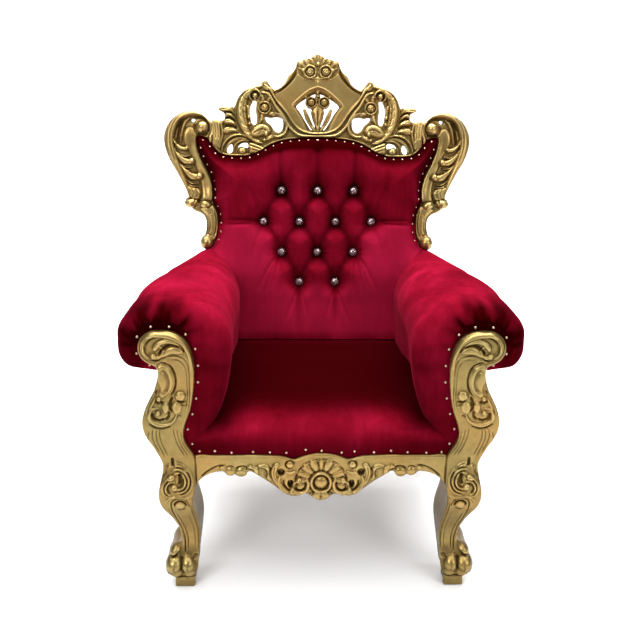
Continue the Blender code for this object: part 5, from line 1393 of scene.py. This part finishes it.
# the offsets below darken the posts, the apron and the wings as painted shade
pair(lambda side, flip: carve_mesh("front_post_carved_" + side, post, lambda u, v: front_line(u, v) - 5,
                                   rear_line, upright, GILT, edge=7, flip=flip, painted_shade_offset=1.0),
     "gilt_wood", "front_post_")
stand(carve_mesh("front_rail_carved", carve_rail(GRAIN).mirror(), flat_at(RAIL_FRONT), flat_at(RAIL_REAR),
                 upright, GILT, edge=4, painted_shade_offset=0.6), "gilt_wood", "front_rail")
board = flat_at(BOARD_FRONT), flat_at(BOARD_REAR), on_back, GILT
ear = carve_wing(GRAIN)
# outlines are rounded, except where wing and crest meet
rounding = np.where((ear.U < 313) & (ear.V > 1012) & (ear.V < 1078), 1.0, 6.0)
pair(lambda side, flip: carve_mesh("wing_carved_" + side, ear, *board, edge=rounding, flip=flip, painted_shade_offset=0.5),
     "gilt_wood", "wing_")
crown = carve_crest(GRAIN).mirror()
rounding = np.where((np.abs(crown.U) > 292) & (crown.V > 1008) & (crown.V < 1090), 1.0, 4.0)
stand(carve_mesh("crest_carved", crown, *board, edge=rounding), "gilt_wood", "crest")

# ---- soft pieces ----
plain_side = ((1.0, 0.0),)
pad_grid = pad_field(2.5)
stand(carve_mesh("back_pad_velvet", pad_grid, flat_at(0), flat_at(-34.0), on_back, VELVET, edge=0.01,
                 side=((0.5, 0.0), (1.0, 0.0))), "velvet", "back_pad", fill=0.8)
arm_rings, arm_painted_shade = arm_grid()
pair(lambda side, flip: loft_mesh("arm_velvet_" + side, arm_rings, VELVET, flip=flip, shade=arm_painted_shade),
     "velvet", "arm_", fill=0.9)
stand(make_seat(inner_face(arm_rings)), "velvet", "seat", fill=0.9)

# ---- plain members kept from the CAD ----
for name in ("side_rail_left", "side_rail_right", "rear_rail", "rear_leg_left", "rear_leg_right"):
    thing = nodes[name]
    thing.data.materials.clear()
    # the rear legs take the painted-shade copy of the gilding
    thing.data.materials.append(GILT_SHADED if "leg" in name else GILT)
    bevel = thing.modifiers.new("eased", "BEVEL")
    bevel.width = 0.003
    bevel.segments = 3
    bevel.limit_method = "ANGLE"
    bevel.angle_limit = math.radians(35)
    bevel.harden_normals = True


# ---- covers of the hidden sides ----
def cover_grid(low, high, outline, puff):
    """A flat cover that swells a little from its edges."""
    cover = Carving(low, high, 6.0)
    cover.grow(*cover.polygon(outline))
    cover.h = puff * (1 - np.exp(-np.maximum(cover.inside - 7, 0) / 14))
    cover.shade = np.full_like(cover.h, 0.2)
    return cover


cover = cover_grid((0, 370), (362, 1054), BACK_COVER, 5).mirror()
stand(carve_mesh("back_cover_velvet", cover, flat_at(41), flat_at(35.4), behind_back, VELVET, edge=2,
                 side=plain_side), "velvet", "back_panel", fill=0.5)
low, high = 365.5, 568            # edges of the outside arm covers over the floor, mm
arm_cover = cover_grid((-372, 360), (236, 574), [
    (-366, low), (back_line(low, 35), low), (back_line(high, 35), high), (-366, high)], 4)
pair(lambda side, flip: carve_mesh("arm_cover_velvet_" + side, arm_cover, flat_at(370.5), flat_at(366.4),
                                   sideways, VELVET, edge=2, flip=flip, side=plain_side),
     "velvet", "arm_panel_", fill=0.5)


# ---- crystal buttons ----
def from_back(point):
    """u, d and v in mm of a world point, in the raked plane of the back."""
    x, y, z = (float(k) / MM for k in point)
    y -= BACK_FOOT
    return x, z * math.sin(RAKE) - y * math.cos(RAKE), z * math.cos(RAKE) + y * math.sin(RAKE)


def cut_crystal():
    """Points and faces of a cut stone in a claw cup."""
    work = bmesh.new()
    for radius, height, count, half_turns in (
            (7.5, -3.6, 16, 0), (10.2, -2.0, 16, 0), (10.9, 0.2, 16, 0), (10.2, 0.9, 16, 0),
            (9.6, 1.3, 16, 1), (7.4, 3.6, 8, 0), (4.6, 4.9, 8, 1)):
        for i in range(count):
            a = 2 * math.pi * (i + 0.5 * half_turns) / count
            work.verts.new((radius * math.cos(a), radius * math.sin(a), height))
    bmesh.ops.convex_hull(work, input=work.verts[:])
    bmesh.ops.recalc_face_normals(work, faces=work.faces[:])
    work.verts.index_update()
    points = np.array([v.co for v in work.verts])
    polys = [[v.index for v in f.verts] for f in work.faces]
    work.free()
    return points, polys


stone, stone_faces = cut_crystal()
for k in range(12):
    name = "button_%d" % (k + 1)
    low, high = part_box(name)
    u, d, v = from_back([(a + b) / 2 for a, b in zip(low, high)])
    spin = RNG.uniform(0, math.pi)
    c, s = math.cos(spin), math.sin(spin)
    x, z = stone[:, 0] * c - stone[:, 1] * s, stone[:, 0] * s + stone[:, 1] * c
    verts = on_back(u + x, d - 7.0 + stone[:, 2], v + z)
    thing = new_object("crystal_" + name, verts, stone_faces, CRYSTAL, smooth_angle=1)
    thing.data.shade_flat()
    stand(thing, "crystal", name)


# ---- upholstery nails ----
def offset(points, amount):
    """The line moved sideways; positive to the left of its direction."""
    d = np.gradient(points, axis=0)
    d /= np.hypot(*d.T)[:, None]
    return points + np.stack([-d[:, 1], d[:, 0]], 1) * amount


def nails(name, places, facing, radius=3.1):
    """Domed heads that all face one way, in one mesh."""
    around, verts, faces = 10, [], []
    facing = Vector(facing).normalized()
    turn = facing.to_track_quat("Z", "Y").to_matrix()
    for p in places:
        start = len(verts)
        for angle, lift in ((0, -0.5), (0, 0.0), (35, 0), (65, 0)):
            tilt = math.radians(angle)
            r, h = radius * math.cos(tilt), radius * 0.75 * math.sin(tilt) + lift
            for i in range(around):
                a = 2 * math.pi * i / around
                verts.append(Vector(p) + turn @ Vector((r * math.cos(a), r * math.sin(a), h)) * MM)
        verts.append(Vector(p) + facing * radius * 0.75 * MM)
        turns = [(i, (i + 1) % around) for i in range(around)]
        for ring in range(start, start + 3 * around, around):
            faces += [(ring + i, ring + j, ring + around + j, ring + around + i) for i, j in turns]
        faces += [(start + 3 * around + i, start + 3 * around + j, len(verts) - 1) for i, j in turns]
        faces.append([start + i for i in reversed(range(around))])
    stand(new_object(name, verts, faces, NAIL), "gilt_wood")


# round the posts, on the front of the arms
spots, _ = even_points(offset(curve_through(POST_OUTLINE[1:23], 4), 7.0), gap=41)
for side, sign in (("right", 1), ("left", -1)):
    nails("nails_arm_" + side, [(sign * u * MM, (ARM_FRONT_Y - 0.2) * MM, v * MM) for u, v in spots],
          (0, -1, 0))
# along the apron, through the lower edge of the seat cover
nail_x = np.linspace(-288, 288, 15) + RNG.uniform(-7, 7, 15)
nail_z = 370 + 3 * (np.abs(nail_x) < 40) + RNG.uniform(-2, 4, 15)
nails("nails_seat", [(x * MM, SEAT_NAIL_Y, z * MM) for x, z in zip(nail_x, nail_z)], (0, -1, 0.1))
# round the opening of the back
places = []
for line, shift in ((NAILS_UNDER_CREST, -6.5), (NAILS_BY_WING, 0.0)):
    places += even_points(offset(curve_through(line, 5), shift), gap=26, start=6)[0].tolist()


def on_pad(u, v):
    """The point of the pad's surface over u and v."""
    i = int(np.argmin(np.abs(pad_grid.u - u)))
    j = int(np.argmin(np.abs(pad_grid.v - v)))
    return on_back(np.array([u]), pad_grid.h[j:j + 1, i] + 0.4, np.array([v]))[0]


for side, sign in (("right", 1), ("left", -1)):
    nails("nails_back_" + side, [on_pad(sign * u, v) for u, v in places],
          on_back(0.0, 1.0, 0.0) - on_back(0.0, 0.0, 0.0), 2.7)


# ---- studio ----
def sweep():
    """Pale floor that curves up into a backdrop."""
    profile = [(-9.0, 0.0), (2.6, 0.0)]
    profile += [(2.6 + 1.6 * math.sin(a), 1.6 - 1.6 * math.cos(a)) for a in np.linspace(0.1, 1.5708, 14)]
    profile.append((4.2, 7.0))
    verts = [(x, y, z) for x in (-9.0, 9.0) for y, z in profile]
    count = len(profile)
    data = bpy.data.meshes.new("studio_floor")
    data.from_pydata(verts, [], [(k, k + count, k + count + 1, k + 1) for k in range(count - 1)])
    data.shade_smooth()
    data.materials.append(FLOOR)
    thing = bpy.data.objects.new("studio_floor", data)
    scene.collection.objects.link(thing)
    thing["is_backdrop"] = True


def softbox(name, place, target, size, power):
    light = bpy.data.lights.new(name, "AREA")
    light.shape = "RECTANGLE"
    light.size, light.size_y = size
    light.energy = power
    thing = bpy.data.objects.new(name, light)
    thing.location = place
    thing.rotation_euler = (Vector(target) - Vector(place)).to_track_quat("-Z", "Y").to_euler()
    scene.collection.objects.link(thing)


def studio():
    sweep()
    softbox("key", (-2.1, -3.5, 3.0), (0, 0, 0.7), (1.8, 1.4), 78)
    softbox("fill", (2.7, -3.1, 2.2), (0, 0, 0.6), (1.8, 1.8), 44)
    softbox("top", (0.0, 0.75, 3.3), (0, 0.0, 0.5), (2.4, 1.2), 75)
    softbox("wall", (0.0, 0.6, 4.6), (0, 3.6, 1.6), (6.0, 1.0), 420)
    softbox("ground", (0.0, -1.6, 4.8), (0, 0.0, 0.0), (6.5, 3.0), 150)
    world = bpy.data.worlds.new("studio_air")
    world.use_nodes = True
    tree = world.node_tree
    back = tree.nodes["Background"]
    place = tree.nodes.new("ShaderNodeTexCoord")
    split = tree.nodes.new("ShaderNodeSeparateXYZ")
    ramp = tree.nodes.new("ShaderNodeValToRGB")
    tree.links.new(place.outputs["Generated"], split.inputs[0])
    tree.links.new(split.outputs["Z"], ramp.inputs["Fac"])
    tree.links.new(ramp.outputs["Color"], back.inputs["Color"])
    for stop, at, grey in zip(ramp.color_ramp.elements, (0.0, 0.75), (0.30, 0.85)):
        stop.position = at
        stop.color = (grey, grey, grey, 1)
    back.inputs["Strength"].default_value = 0.55
    scene.world = world
    scene.view_settings.view_transform = "Standard"


def camera():
    """A normal lens in front of the chair, a little above its back, looking down at the seat."""
    pitch, yaw, roll = math.radians(18.94), math.radians(1.68), math.radians(-0.69)
    level = Vector((math.sin(yaw), math.cos(yaw), 0))
    right = Vector((math.cos(yaw), -math.sin(yaw), 0))
    forward = level * math.cos(pitch) - Vector((0, 0, math.sin(pitch)))
    up = level * math.sin(pitch) + Vector((0, 0, math.cos(pitch)))
    c, s = math.cos(roll), math.sin(roll)
    data = bpy.data.cameras.new("camera")
    data.sensor_width = 36
    data.lens = 48.28
    thing = bpy.data.objects.new("camera", data)
    matrix = Matrix((right * c - up * s, right * s + up * c, -forward)).transposed().to_4x4()
    matrix.translation = Vector((-0.06, -2.2, 1.32))
    thing.matrix_world = matrix
    scene.collection.objects.link(thing)
    scene.camera = thing


studio()
camera()
low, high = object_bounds()
